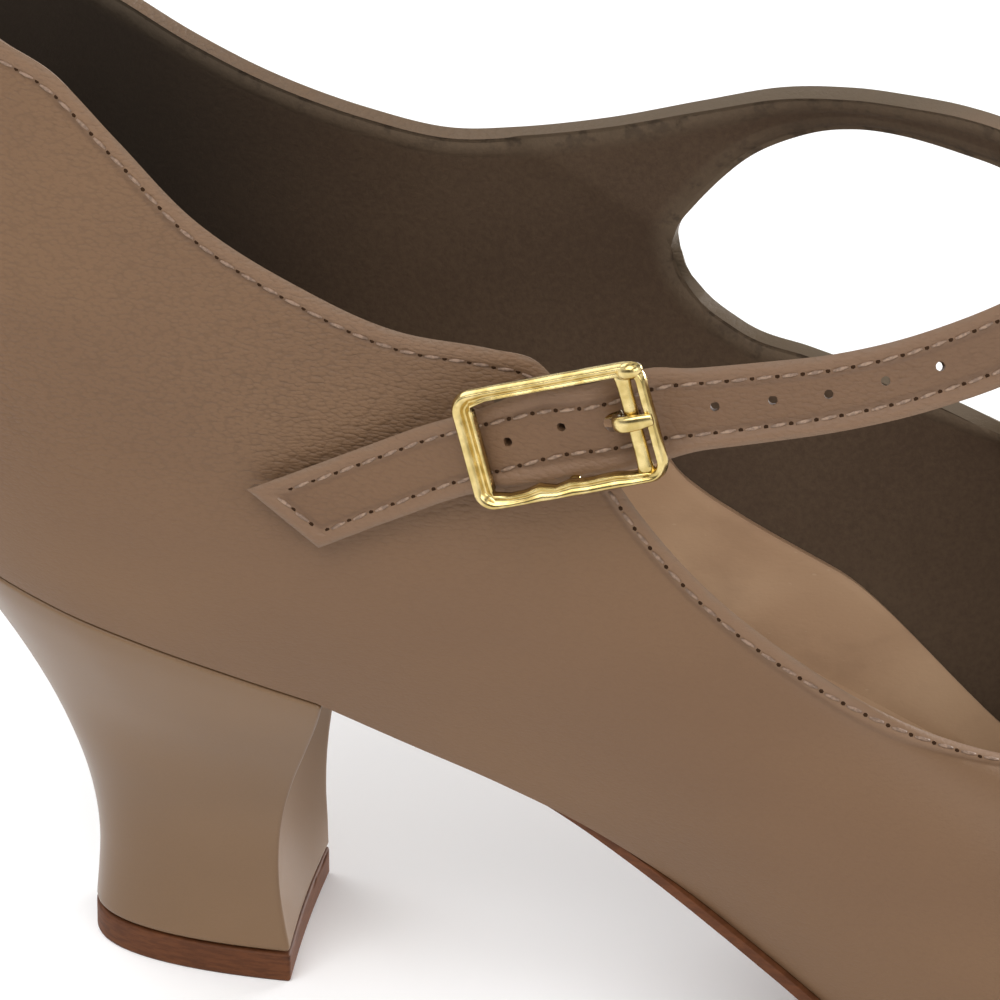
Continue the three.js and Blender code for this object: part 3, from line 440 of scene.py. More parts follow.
def search_tree(points):
    tree = KDTree(len(points))
    for n, p in enumerate(points):
        tree.insert(p, n)
    tree.balance()
    return tree


def rim_points(bm, keep=lambda p: True):
    """The free edges of a sheet that keep(point) accepts, as a search tree."""
    found = []
    for e in free_edges(bm):
        a, b = e.verts[0].co, e.verts[1].co
        if keep(a) and keep(b):
            found.extend([a.copy(), a.lerp(b, 0.5)])
    return search_tree(found)


def raised(bm, moves):
    """Carries out (vertex, move) pairs and gives the face that stitches lie on."""
    for v, move in moves:
        v.co += move
    return BVHTree.FromBMesh(bm)


def skin_layers(bm):
    """Attributes that the tan leather reads: mm to the rim, boldness of grain (which also sets the
    painted shade in its hollows) and folds.
    """
    return [bm.verts.layers.float.new(name) for name in ("rim", "pebble", "crease")]


def new_object(bm, name, materials):
    mesh = bpy.data.meshes.new(name)
    bm.to_mesh(mesh)
    bm.free()
    obj = bpy.data.objects.new(name, mesh)
    bpy.context.collection.objects.link(obj)
    for material in materials:
        mesh.materials.append(material)
    return obj


def finish_piece(bm, name, materials, node):
    obj = new_object(bm, name, materials)
    for polygon in obj.data.polygons:
        polygon.use_smooth = True
    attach(obj, "root")
    if node:
        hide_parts(node)
    return obj


def round_edges(obj, width, segments, angle):
    """Rounds the edges sharper than an angle in degrees."""
    bevel = obj.modifiers.new("edge", "BEVEL")
    bevel.width = width * MM
    bevel.segments = segments
    bevel.limit_method = "ANGLE"
    bevel.angle_limit = math.radians(angle)


def thicken(obj, thickness, bevel, lining=0, segments=3):
    """Gives a sheet its wall, on the side its faces turn away from, and a rounded rim;
    lining is how many materials on the inner face's own one lies."""
    wall = obj.modifiers.new("wall", "SOLIDIFY")
    wall.thickness = thickness * MM
    wall.offset = -1
    wall.use_even_offset = False
    wall.material_offset = lining
    round_edges(obj, bevel, segments, 50)


# Materials.
def srgb(red, green, blue):
    def linear(value):
        value /= 255
        return value / 12.92 if value <= 0.04045 else ((value + 0.055) / 1.055) ** 2.4

    return (linear(red), linear(green), linear(blue), 1.0)


class Nodes:
    """Short calls for a node tree."""

    def __init__(self, tree):
        self.tree = tree

    def add(self, kind, **values):
        node = self.tree.nodes.new(kind)
        for name, value in values.items():
            setattr(node, name, value)
        return node

    def join(self, source, target):
        self.tree.links.new(source, target)

    def feed(self, node, name, value):
        if isinstance(value, bpy.types.NodeSocket):
            self.join(value, node.inputs[name])
        elif value is not None:
            node.inputs[name].default_value = value

    def math(self, operation, a, b=None, c=None):
        node = self.add("ShaderNodeMath", operation=operation)
        for n, value in enumerate((a, b, c)):
            self.feed(node, n, value)
        return node.outputs[0]

    def made(self, kind, entries, output, **values):
        """Adds a node, feeds its entries and gives one of its outputs."""
        node = self.add(kind, **values)
        for name, value in entries.items():
            self.feed(node, name, value)
        return node.outputs[output]

    def noise(self, vector, scale, detail=3.0, roughness=0.55):
        entries = {"Vector": vector, "Scale": scale, "Detail": detail, "Roughness": roughness}
        return self.made("ShaderNodeTexNoise", entries, "Fac")

    def span(self, value, low, high, to_low=0.0, to_high=1.0):
        """Carries low to high over to to_low to to_high, with a soft start and end."""
        names = ("Value", "From Min", "From Max", "To Min", "To Max")
        entries = dict(zip(names, (value, low, high, to_low, to_high)))
        return self.made("ShaderNodeMapRange", entries, "Result", interpolation_type="SMOOTHSTEP")

    def mix(self, factor, a, b):
        return self.made("ShaderNodeMix", {0: factor, 6: a, 7: b}, 2, data_type="RGBA")

    def times(self, a, b):
        return self.math("MULTIPLY", a, b)

    def stretch(self, vector, scale, turn=(0, 0, 0)):
        node = self.add("ShaderNodeMapping")
        self.feed(node, "Vector", vector)
        node.inputs["Scale"].default_value = scale
        node.inputs["Rotation"].default_value = turn
        return node.outputs[0]

    def attribute(self, name):
        return self.add("ShaderNodeAttribute", attribute_name=name).outputs["Fac"]

    def place(self):
        return self.add("ShaderNodeTexCoord").outputs["Object"]

    def parts(self, vector):
        """The x, y and z of a vector."""
        return self.made("ShaderNodeSeparateXYZ", {0: vector}, slice(None))


def new_group(name, inputs, outputs):
    tree = bpy.data.node_groups.new(name, "ShaderNodeTree")
    for entry, default in inputs.items():
        socket = tree.interface.new_socket(entry, in_out="INPUT", socket_type="NodeSocketFloat")
        socket.default_value = default
    for entry in outputs:
        tree.interface.new_socket(entry, in_out="OUTPUT", socket_type="NodeSocketFloat")
    n = Nodes(tree)
    return tree, n, n.add("NodeGroupInput"), n.add("NodeGroupOutput")


def leather_grain_group():
    """Pebbled leather: cells, fine pores, a slow change of tone and a mask of painted shade for the
    hollows between the cells.
    """
    inputs = {"Cell Size": 0.9, "Pebble": 1.0, "Crease": 0.0}
    tree, n, source, target = new_group("leather_grain", inputs, ("Height", "Tone", "Painted Shade"))
    place = n.stretch(n.place(), (1.0, 1.0, 2.1), (0, 0.3, 0))
    scale = n.math("DIVIDE", 1000.0, source.outputs["Cell Size"])
    cells = n.add("ShaderNodeTexVoronoi", feature="F1")
    n.join(place, cells.inputs["Vector"])
    n.feed(cells, "Scale", scale)
    away = cells.outputs["Distance"]
    dome = n.math("SUBTRACT", 1.0, n.times(away, away))
    # Painted shade: a mask that darkens the hollows between the grain's cells.
    painted_shade = n.times(n.span(dome, 0.82, 0.5), source.outputs["Pebble"])
    n.join(painted_shade, target.inputs["Painted Shade"])
    pebble = n.times(dome, source.outputs["Pebble"])
    fine = n.noise(place, n.times(scale, 2.0), 2.0, 0.6)
    folds = n.noise(place, 420.0, 1.0, 0.6)
    folds = n.times(folds, source.outputs["Crease"])
    height = n.math("MULTIPLY_ADD", fine, 0.35, n.times(pebble, 1.6))
    n.join(n.math("MULTIPLY_ADD", folds, 1.6, height), target.inputs["Height"])
    broad = n.noise(place, 30.0, 1.0, 0.5)
    tone = n.math("MULTIPLY_ADD", broad, 0.75, n.times(fine, 0.25))
    n.join(tone, target.inputs["Tone"])
    return tree


def wear_group():
    """Rubbed edge and faint scuffs, from a distance to the edge in millimetres."""
    inputs = {"Distance": 9.0, "Reach": 1.2, "Amount": 1.0}
    tree, n, source, target = new_group("edge_wear", inputs, ("Mask",))
    patch = n.noise(n.place(), 420.0, 1.0, 0.65)
    ragged = n.math("MULTIPLY_ADD", patch, 1.1, source.outputs["Distance"])
    mask = n.math("SUBTRACT", 1.0, n.math("DIVIDE", ragged, source.outputs["Reach"]))
    mask = n.times(n.math("MAXIMUM", mask, 0.0), source.outputs["Amount"])
    n.join(n.math("MINIMUM", mask, 1.0), target.inputs["Mask"])
    return tree


def use_group(n, tree, **values):
    node = n.add("ShaderNodeGroup", node_tree=tree)
    for name, value in values.items():
        n.feed(node, name.replace("_", " "), value)
    return node


def new_material(name):
    material = bpy.data.materials.new(name)
    material.use_nodes = True
    tree = material.node_tree
    return material, Nodes(tree), tree.nodes["Principled BSDF"]


def bump(n, shader, height, distance, strength=1.0):
    node = n.add("ShaderNodeBump")
    n.feed(node, "Height", height)
    node.inputs["Distance"].default_value = distance * MM
    node.inputs["Strength"].default_value = strength
    n.join(node.outputs[0], shader.inputs["Normal"])


def finish(n, shader, colour, roughness, specular, coat=0.0, metallic=0.0):
    n.join(colour, shader.inputs["Base Color"])
    n.feed(shader, "Roughness", roughness)
    shader.inputs["Specular IOR Level"].default_value = specular
    shader.inputs["Coat Weight"].default_value = coat
    shader.inputs["Metallic"].default_value = metallic


def tan_leather(name, warm, cool):
    material, n, shader = new_material(name)
    pebble = n.attribute("pebble")
    crease = n.attribute("crease")
    skin = use_group(n, GRAIN, Cell_Size=0.7, Pebble=pebble, Crease=crease)
    tone = n.span(skin.outputs["Tone"], 0.3, 0.7)
    colour = n.mix(tone, srgb(*cool), srgb(*warm))
    # Painted shade in the grain's hollows.
    colour = n.mix(n.times(skin.outputs["Painted Shade"], 0.32), colour, srgb(82, 60, 42))
    rim = n.attribute("rim")
    # Painted highlight on the rolled edge along the rim.
    fold = n.span(rim, 2.3, 1.5)
    colour = n.mix(n.times(fold, 0.35), colour, srgb(136, 108, 86))
    # Painted shade in the groove of the stitch line, about 2 mm in from the rim.
    groove = n.times(n.span(rim, 1.6, 2.0), n.span(rim, 2.5, 2.1))
    colour = n.mix(n.times(groove, 0.25), colour, srgb(74, 54, 40))
    rubbed = use_group(n, WEAR, Distance=rim, Reach=1.1, Amount=0.55).outputs["Mask"]
    colour = n.mix(rubbed, colour, srgb(112, 98, 84))
    x, y, _ = n.parts(n.place())
    inner = n.times(n.span(y, 0.008, 0.016), n.span(rim, 0.9, 0.4))
    inner = n.times(inner, n.span(x, 0.0, 0.05, 0.25, 0.85))
    colour = n.mix(inner, colour, srgb(88, 76, 60))
    finish(n, shader, colour, n.span(skin.outputs["Tone"], 0.3, 0.7, 0.50, 0.60), 0.32)
    bump(n, shader, skin.outputs["Height"], 0.12, 1.0)
    return material


def lining_leather(name):
    """Suede-like lining, with painted shade that makes it greyer and darker deep in the heel."""
    material, n, shader = new_material(name)
    place = n.place()
    nap = n.noise(place, 1500.0, 2.0, 0.7)
    patches = n.noise(place, 30.0, 2.0, 0.5)
    tone = n.span(n.math("MULTIPLY_ADD", nap, 0.45, n.times(patches, 0.55)), 0.3, 0.7)
    colour = n.mix(tone, srgb(72, 56, 43), srgb(86, 69, 53))
    # Painted shade deep in the heel.
    deep = n.span(n.parts(place)[0], 0.02, -0.012)
    colour = n.mix(n.times(deep, 0.8), colour, srgb(44, 38, 32))
    rim = n.attribute("rim")
    speckle = n.span(n.noise(place, 420.0, 3.0, 0.7), 0.5, 0.64)
    near = n.span(rim, 3.6, 0.8)
    colour = n.mix(n.times(near, 0.4), colour, srgb(112, 98, 80))
    colour = n.mix(n.times(speckle, n.times(near, 0.6)), colour, srgb(54, 44, 35))
    finish(n, shader, colour, 0.85, 0.2)
    bump(n, shader, nap, 0.08, 0.8)
    return material


def insole_leather(name):
    """A painted highlight along the middle, stained and scuffed, dark at its edge."""
    material, n, shader = new_material(name)
    skin = use_group(n, GRAIN, Cell_Size=0.6, Pebble=0.3, Crease=0.3)
    place = n.place()
    broad = n.noise(n.stretch(place, (0.5, 1.0, 1.0)), 45.0, 2.0, 0.55)
    colour = n.mix(n.span(broad, 0.35, 0.65), srgb(168, 134, 103), srgb(193, 160, 127))
    # Painted highlight along the middle of the insole.
    painted_middle_highlight = n.span(n.attribute("across"), 0.8, 0.0)
    colour = n.mix(n.times(painted_middle_highlight, 0.55), colour, srgb(204, 176, 144))
    stain = n.span(n.noise(n.stretch(place, (0.6, 1.0, 1.0)), 70.0, 4.0, 0.7), 0.46, 0.7)
    colour = n.mix(n.times(stain, 0.32), colour, srgb(128, 98, 74))
    scratches = n.noise(n.stretch(place, (0.22, 1.0, 1.0), (0, 0, 0.35)), 2500.0, 1.0, 0.5)
    scuff = n.span(scratches, 0.74, 0.8)
    colour = n.mix(n.times(scuff, 0.22), colour, srgb(204, 180, 152))
    side = n.span(n.attribute("rim"), 2.0, 0.3)
    colour = n.mix(n.times(side, 0.8), colour, srgb(96, 60, 44))
    finish(n, shader, colour, 0.68, 0.35)
    bump(n, shader, skin.outputs["Height"], 0.04, 0.6)
    return material


def heel_leather(name):
    material, n, shader = new_material(name)
    skin = use_group(n, GRAIN, Cell_Size=0.5, Pebble=0.12, Crease=0.0)
    tone = n.span(skin.outputs["Tone"], 0.34, 0.66)
    colour = n.mix(tone, srgb(108, 81, 54), srgb(116, 88, 60))
    finish(n, shader, colour, n.span(skin.outputs["Tone"], 0.3, 0.7, 0.33, 0.42), 0.36, coat=0.15)
    shader.inputs["Coat Roughness"].default_value = 0.25
    bump(n, shader, skin.outputs["Height"], 0.02, 0.5)
    return material


def rust_leather(name, layered):
    """Stained leather: a pressed fibre edge, streaked along its layers."""
    material, n, shader = new_material(name)
    place = n.place()
    streak = n.noise(n.stretch(place, (1.0, 1.0, layered)), 420.0, 3.0, 0.65)
    colour = n.mix(n.span(streak, 0.36, 0.64), srgb(82, 47, 26), srgb(97, 57, 32))
    patch = n.noise(place, 90.0, 3.0)
    colour = n.mix(n.span(patch, 0.5, 0.7, 0.0, 0.4), colour, srgb(66, 36, 20))
    finish(n, shader, colour, 0.6, 0.2)
    bump(n, shader, streak, 0.08, 0.6)
    return material


def gold_metal(name):
    material, n, shader = new_material(name)
    place = n.place()
    haze = n.noise(place, 500.0, 2.0, 0.6)
    colour = n.mix(n.span(haze, 0.35, 0.65), srgb(190, 166, 104), srgb(224, 202, 142))
    finish(n, shader, colour, n.span(haze, 0.3, 0.7, 0.17, 0.28), 0.5, metallic=1.0)
    bump(n, shader, n.noise(place, 260.0, 3.0), 0.05, 0.35)
    return material


def thread(name, light, dark):
    material, n, shader = new_material(name)
    twist = n.noise(n.place(), 2200.0, 2.0)
    colour = n.mix(n.span(twist, 0.35, 0.65), srgb(*dark), srgb(*light))
    finish(n, shader, colour, 0.6, 0.5)
    bump(n, shader, twist, 0.05, 0.7)
    return material


# Dark beads of painted shade that stand for the needle holes.
def needle_hole_shade(name):
    material, n, shader = new_material(name)
    depth = n.noise(n.place(), 800.0, 2.0)
    colour = n.mix(depth, srgb(44, 30, 20), srgb(60, 42, 29))
    finish(n, shader, colour, 0.9, 0.0)
    return material


GRAIN = leather_grain_group()
WEAR = wear_group()
UPPER_LEATHER = tan_leather("upper_leather", (115, 87, 62), (108, 81, 58))
STRAP_LEATHER = tan_leather("strap_leather", (112, 84, 60), (105, 78, 56))
LINING = lining_leather("lining_leather")
INSOLE_LEATHER = insole_leather("insole_leather")
HEEL_LEATHER = heel_leather("heel_cover_leather")
SOLE_LEATHER = rust_leather("sole_leather", 3.0)
LIFT_LEATHER = rust_leather("top_piece_leather", 6.0)
GOLD = gold_metal("buckle_gold")
COLLAR_THREAD = thread("collar_thread", (142, 116, 96), (110, 88, 72))
STRAP_THREAD = thread("strap_thread", (150, 124, 103), (116, 94, 78))
NEEDLE_HOLE_SHADE = needle_hole_shade("needle_hole_shade")


# Upper: quarters and vamp, with the wing of the strap.
# x, z, length, turn in degrees, width, depth: soft folds in the outer quarter
CREASES = (
    (62.0, 66.6, 7.0, 70, 1.1, 0.10),
    (65.4, 65.6, 9.0, 82, 0.9, 0.16),
    (67.9, 64.0, 7.0, 90, 1.0, 0.13),
    (71.5, 64.6, 8.0, 100, 1.1, 0.15),
    (75.4, 65.4, 6.0, 108, 0.9, 0.09),
    (58.0, 63.5, 13.0, -20, 1.6, 0.12),
    (54.0, 81.0, 9.0, -30, 0.9, 0.05),
)


def crease_depth(x, z):
    """Height of the folds there in mm, below 0 in a fold and above beside it."""
    total = 0.0
    for cx, cz, length, turn, width, depth in CREASES:
        angle = math.radians(turn)
        along = (x - cx) * math.cos(angle) + (z - cz) * math.sin(angle)
        across = (z - cz) * math.cos(angle) - (x - cx) * math.sin(angle)
        if abs(along) < length * 0.75 and abs(across) < width * 3:
            deep = depth * ease(1.5 - 2 * abs(along) / length)
            total -= deep * math.exp(-((across / width) ** 2))
            total += 0.4 * deep * math.exp(-((abs(across) / width - 1.8) ** 2))
    return total


def pebble_amount(x, z):
    """The grain and the shade painted into its hollows are bold on the quarter and round the
    buckle, faint on the vamp.
    """
    near = math.exp(-((x - 56) / 26) ** 2 - ((z - 76) / 13) ** 2)
    quarter = ease((84 - x) / 40) * ease((z - 56) / 24)
    return clamp(0.12 + 0.46 * quarter + 0.26 * near)


# Rows of the wall: mm below the rim, then REST more to the sole line.
NEAR_RIM = (0, 0.35, 0.7, 1.05, 1.4, 1.7, 2.0, 2.3, 2.6, 3.0, 3.5, 4.2, 5.1, 6.2, 7.5)
REST = 26
# Columns of the wall: the outer side, then the inner vamp, the strap's root and the quarter.
SIDE_CELLS = 300
INNER_CELLS = 110
ROOT_CELLS = 24
WING_ROWS = 110
ROOT_REACH = 17  # mm round the strap's root that are smoothed


def ring_places():
    vamp = (1, ROOT_FRONT, INNER_CELLS)
    root = (ROOT_FRONT, ROOT_BACK, ROOT_CELLS)
    quarter = (ROOT_BACK, 0, INNER_CELLS)
    out = [(n / SIDE_CELLS, 1) for n in range(SIDE_CELLS + 1)]
    for first, last, cells in (vamp, root, quarter):
        out += [(lerp(first, last, n / cells), -1) for n in range(1, cells + 1)]
    return out


def make_upper():
    """The wall and the wing; returns the columns and the outer face."""
    bm = bmesh.new()
    columns = [Column(at, side) for at, side in ring_places()]
    shares = []
    for column in columns:
        left = column.whole() - NEAR_RIM[-1]
        depths = list(NEAR_RIM) + [NEAR_RIM[-1] + left * n / REST for n in range(1, REST + 1)]
        line = [column.below_head(depth) for depth in depths]
        line[0] = 1.0
        line[-1] = 0.0
        shares.append(line[::-1])

    sheet(bm, len(columns) - 1, len(depths) - 1, lambda i, k: columns[i].point(shares[i][k]))

    def wing(i, k):
        upper_edge, lower_edge = band_edges(SEAM * k / WING_ROWS)
        return lower_edge.lerp(upper_edge, i / ROOT_CELLS)

    sheet(bm, ROOT_CELLS, WING_ROWS, wing)
    weld(bm, 0.01)
    upper_corner, lower_corner = band_edges(0)
    root = placed(upper_corner).lerp(placed(lower_corner), 0.5)
    near = [v for v in bm.verts if (v.co - root).length < ROOT_REACH * MM and not v.is_boundary]
    every_axis = {"use_axis_x": True, "use_axis_y": True, "use_axis_z": True}
    for _ in range(4):
        bmesh.ops.smooth_vert(bm, verts=near, factor=0.5, **every_axis)
    bm.normal_update()
    foot_tree = search_tree([placed(column.foot) for column in columns])
    tree = rim_points(bm, lambda p: foot_tree.find(p)[2] > 1.5 * MM)
    rim, pebble, crease = skin_layers(bm)
    moves = []
    for v in bm.verts:
        x = v.co.x / MM + ORIGIN
        z = v.co.z / MM
        away = tree.find(v.co)[2] / MM
        v[rim] = away
        v[pebble] = pebble_amount(x, z)
        lift = 0.0
        if v.co.y < 0:
            depth = crease_depth(x, z)
            v[crease] = clamp(0.15 + abs(depth) * 2.0, 0, 1) * ease((110 - x) / 60)
            lift += depth * ease((away - 1.0) / 3)
        lift += 0.2 * math.sin(math.pi * clamp(away / 2.0)) ** 0.8
        lift -= 0.16 * math.exp(-(((away - 2.0) / 0.35) ** 2))
        moves.append((v, v.normal * (lift * MM)))
    surface = raised(bm, moves)
    upper = finish_piece(bm, "upper_leather", [UPPER_LEATHER, LINING], "upper")
    thicken(upper, THIN_WALL, bevel=0.62, lining=1, segments=4)
    return columns, surface


COLUMNS, UPPER_FACE = make_upper()


# Stitches.
def even_path(points, pitch):
    """Points and directions at an even pitch along a line of (point, out) pairs."""
    out = []
    travelled = 0.0
    goal = pitch / 2
    for (a, na), (b, nb) in zip(points, points[1:]):
        length = (b - a).length
        while goal <= travelled + length and length > 0:
            t = (goal - travelled) / length
            out.append((a.lerp(b, t), (b - a).normalized(), na.lerp(nb, t).normalized()))
            goal += pitch
        travelled += length
    return out


STITCH = (1.0, 0.22, 0.176)  # half length, half width and half height of a stitch
NEEDLE = (0.31, 0.2635, 0.07)  # the same of a needle hole's dark bead of painted shade


def stitch_row(name, points, material, face, pitch=STITCH_PITCH):
    """One row of stitches along (point, out) pairs, lying on a face, with a dark bead of painted
    shade standing for a needle hole between each two."""

    def laid(spot, out):
        found, normal, _, _ = face.find_nearest(placed(spot), 4 * MM)
        if found is None:
            return placed(spot), out
        return found, normal if normal.dot(out) > 0 else -normal

    def bead(centre, turn, size, rings):
        shape = Matrix.Translation(centre) @ turn @ Matrix.Diagonal((*(Vector(size) * MM), 1))
        made = bmesh.ops.create_uvsphere(bm, u_segments=6, v_segments=rings, radius=1, matrix=shape)
        return made["verts"]

    bm = bmesh.new()
    lean = Matrix.Rotation(math.radians(5), 4, "Z")
    for spot, along, out in even_path(points, pitch):
        middle, out = laid(spot, out)
        along = (along - out * along.dot(out)).normalized()
        side = out.cross(along).normalized()
        turn = Matrix((along, side, out)).transposed().to_4x4()
        bead(middle + out * 0.05 * MM, turn @ lean, STITCH, 5)
        # A dark bead of painted shade stands for the needle hole.
        hole = bead(laid(spot + along * pitch / 2, out)[0], turn, NEEDLE, 3)
        for facet in {facet for v in hole for facet in v.link_faces}:
            facet.material_index = 1
    finish_piece(bm, name, [material, NEEDLE_HOLE_SHADE], None)


def column_normal(index, t):
    a = COLUMNS[max(index - 1, 0)].point(t)
    b = COLUMNS[min(index + 1, len(COLUMNS) - 1)].point(t)
    return (b - a).cross(COLUMNS[index].tangent(t)).normalized()


def topline_path(first, last):
    """The stitch line under the topline, over the ring's columns."""
    out = []
    for index in range(first, last + 1, 2):
        t = COLUMNS[index].below_head(STITCH_INSET)
        out.append((COLUMNS[index].point(t), column_normal(index, t)))
    return out


INNER_RUNS = 8  # the band faces the inner side up to this run,
FRONT_RUNS = 11  # the toe up to this one, and the outer side beyond


def band_path(start, end, inset, upper_side, edges):
    """A stitch line along one edge of the band's outer face."""
    points = 260
    step = 0.05
    line = []
    for n in range(points + 1):
        run = lerp(start, end, n / points)
        a, b = edges(run)
        near_a, near_b = edges(run + step if run + step <= LAST_RUN else run - step)
        out = (near_a.lerp(near_b, 0.5) - a.lerp(b, 0.5)).cross(b - a).normalized()
        facing = -out.y
        if run < INNER_RUNS:
            facing = out.y
        elif run < FRONT_RUNS:
            facing = out.x
        if facing < 0:
            out.negate()
        if not upper_side:
            a, b = b, a
        line.append((a.lerp(b, inset / (b - a).length), out))
    return line


VAMP_END = SIDE_CELLS + INNER_CELLS
QUARTER_START = VAMP_END + ROOT_CELLS
collar_line = topline_path(QUARTER_START + 4, len(COLUMNS) - 1) + topline_path(0, VAMP_END - 3)
stitch_row("collar_stitches", collar_line, COLLAR_THREAD, UPPER_FACE)
for side_name, on_upper in (("upper", True), ("lower", False)):
    wing_line = band_path(0.2, SEAM - 0.1, STITCH_INSET * 0.85, on_upper, band_edges)
    stitch_row("wing_stitches_" + side_name, wing_line, STRAP_THREAD, UPPER_FACE)


# Strap.
STRAP_START = SEAM + 0.04
# pitches from the prong, and mm above the strap's middle
HOLES = ((-2, 0.2), (-1, 0.6), (2, 0.1), (3, 0.1), (4, 0), (5, 0.2), (6, 0.1))


SLOT_RADIUS = 1.05
SLOT_HALF = 0.8


def cut_hole(bm, centre, axes, radius, half=0.0):
    """Cuts a round hole, or a slot with that half length between its round ends."""
    along, across, out = axes

    def local(point):
        p = point / MM + Vector((ORIGIN, 0, 0)) - centre
        return p.dot(along), p.dot(across), p.dot(out)

    doomed = []
    for face in bm.faces:
        u, w, h = local(face.calc_center_median())
        u = max(abs(u) - half, 0.0)
        if abs(h) < 3 and math.hypot(u, w) < radius * 0.92:
            doomed.append(face)
    ring = {v for face in doomed for v in face.verts}
    bmesh.ops.delete(bm, geom=doomed, context="FACES")
    for v in ring:
        if v.is_valid and v.link_faces:
            u, w, _ = local(v.co)
            u -= clamp(u, -half, half)
            grow = radius / (math.hypot(u, w) or 1.0) - 1
            v.co += (along * u + across * w) * (grow * MM)


def make_strap():
    """The strap with its holes; returns its outer face."""
    bm = bmesh.new()
    rows, cells = 300, 22
    runs = [lerp(STRAP_START, LAST_RUN, k / rows) for k in range(rows + 1)]

    def place(i, k):
        upper_edge, lower_edge = strap_edges(runs[k])
        in_buckle = math.exp(-(((runs[k] - 15.8) / 0.82) ** 4))
        share = lerp(-0.125 * in_buckle, 1 + 0.11875 * in_buckle, i / cells)
        return lower_edge.lerp(upper_edge, share)

    sheet(bm, cells, rows, place)
    tree = rim_points(bm)
    for n, above in HOLES:
        run = run_at(PRONG_AT + n * HOLE_PITCH - (1.9 if n > 0 else 0.2))
        centre, *axes = strap_axes(run)
        cut_hole(bm, centre + axes[1] * above, axes, HOLE_RADIUS)
    centre, *axes = strap_axes(BUCKLE_RUN)
    cut_hole(bm, centre + axes[0] * (PRONG_AT + 0.2), axes, SLOT_RADIUS, SLOT_HALF)
    bm.normal_update()
    outer_half = [f for f in bm.faces if f.calc_center_median().x < 0.09]
    if sum(f.normal.y for f in outer_half) > 0:
        bmesh.ops.reverse_faces(bm, faces=bm.faces)
        bm.normal_update()
    rim, pebble, _ = skin_layers(bm)
    moves = []
    for v in bm.verts:
        away = tree.find(v.co)[2] / MM
        v[rim] = away
        v[pebble] = 0.4
        groove = 0.12 * math.exp(-(((away - STRAP_INSET) / 0.3) ** 2))
        fold = 0.26 * math.sin(math.pi * clamp(away / STRAP_INSET)) ** 0.8
        moves.append((v, v.normal * ((fold - groove) * MM)))
    surface = raised(bm, moves)
    strap = finish_piece(bm, "strap_leather", [STRAP_LEATHER], "strap")
    thicken(strap, STRAP, bevel=0.7, segments=4)
    return surface


STRAP_FACE = make_strap()
for side_name, on_upper, tip in (("upper", True, 0.36), ("lower", False, 0.16)):
    strap_line = band_path(STRAP_START + 0.02, LAST_RUN - tip, STRAP_INSET, on_upper, strap_edges)
    stitch_row("strap_stitches_" + side_name, strap_line, STRAP_THREAD, STRAP_FACE)


def tip_path():
    """The stitches across the slanted end of the strap."""
    end_upper, end_lower = strap_edges(LAST_RUN)
    _, along, _, out = strap_axes(LAST_RUN - 0.3)
    slant = (end_lower - end_upper).normalized()
    inward = out.cross(slant).normalized()
    if inward.dot(along) < 0:
        inward.negate()
    a = end_upper + slant * 2.6 + inward * STRAP_INSET
    b = end_lower - slant * 1.4 + inward * STRAP_INSET
    return [(a, out), (b, out)]


stitch_row("strap_stitches_tip", tip_path(), STRAP_THREAD, STRAP_FACE, 2.4)


# Insole.
def curl(at, side):
    rise = math.sin(math.pi * clamp((at - 0.12) / 0.72))
    if side > 0:
        return 0.055 + 0.04 * rise**1.5
    rear = math.exp(-(((at - 0.39) / 0.1) ** 2))
    fore = ease((0.7 - at) / 0.09)
    return 0.055 + 0.32 * rise**1.5 * fore + 0.06 * rear


def make_insole():
    inset = WALL + 0.4
    steps, folds, floor_cells = 200, 8, 24
    first, last = 1 / 60, 59 / 60

    def inside(at, side, share):
        column = Column(at, side)
        p = column.point(share)
        up = column.tangent(share)
        along = Vector((-column.out.y, column.out.x, 0))
        normal = along.cross(up).normalized()
        if normal.dot(column.out) < 0:
            normal.negate()
        return p - normal * inset

    def place(i, k):
        at = lerp(first, last, k / steps)
        if i <= folds:
            return inside(at, 1, curl(at, 1) * (folds - i) / folds)
        if i >= folds + floor_cells:
            return inside(at, -1, curl(at, -1) * (i - folds - floor_cells) / folds)
        t = (i - folds) / floor_cells
        p = inside(at, 1, 0).lerp(inside(at, -1, 0), t)
        edge_lift = max(0.0, 1 - 8 * min(t, 1 - t))
        p.z = bottom(p.x, 1 - 2 * t) + 0.1 + 0.6 * edge_lift
        return p

    bm = bmesh.new()
    across, rim = [bm.verts.layers.float.new(name) for name in ("across", "rim")]
    cells = 2 * folds + floor_cells
    marks = {v: n for n, v in enumerate(sheet(bm, cells, steps, place))}
    tree = rim_points(bm)
    for v in bm.verts:
        v[rim] = tree.find(v.co)[2] / MM
    for v, n in marks.items():
        i = n % (cells + 1)
        v[rim] += 1.5 if i > folds + floor_cells / 2 else 0
        v[across] = abs((i - folds) / floor_cells - 0.5) * 2
    face_up(bm, -1)
    insole = finish_piece(bm, "insole_leather", [INSOLE_LEATHER], "insole")
    thicken(insole, INSOLE, bevel=0.6)


make_insole()


# Outsole.
def sole_margin(x):
    return lerp(-4, SOLE_EDGE, ease((x / LENGTH - 0.25) / 0.15))


def sole_depth(x):
    return lerp(SOLE_WAIST, SOLE, ease((x / LENGTH - 0.36) / 0.2))


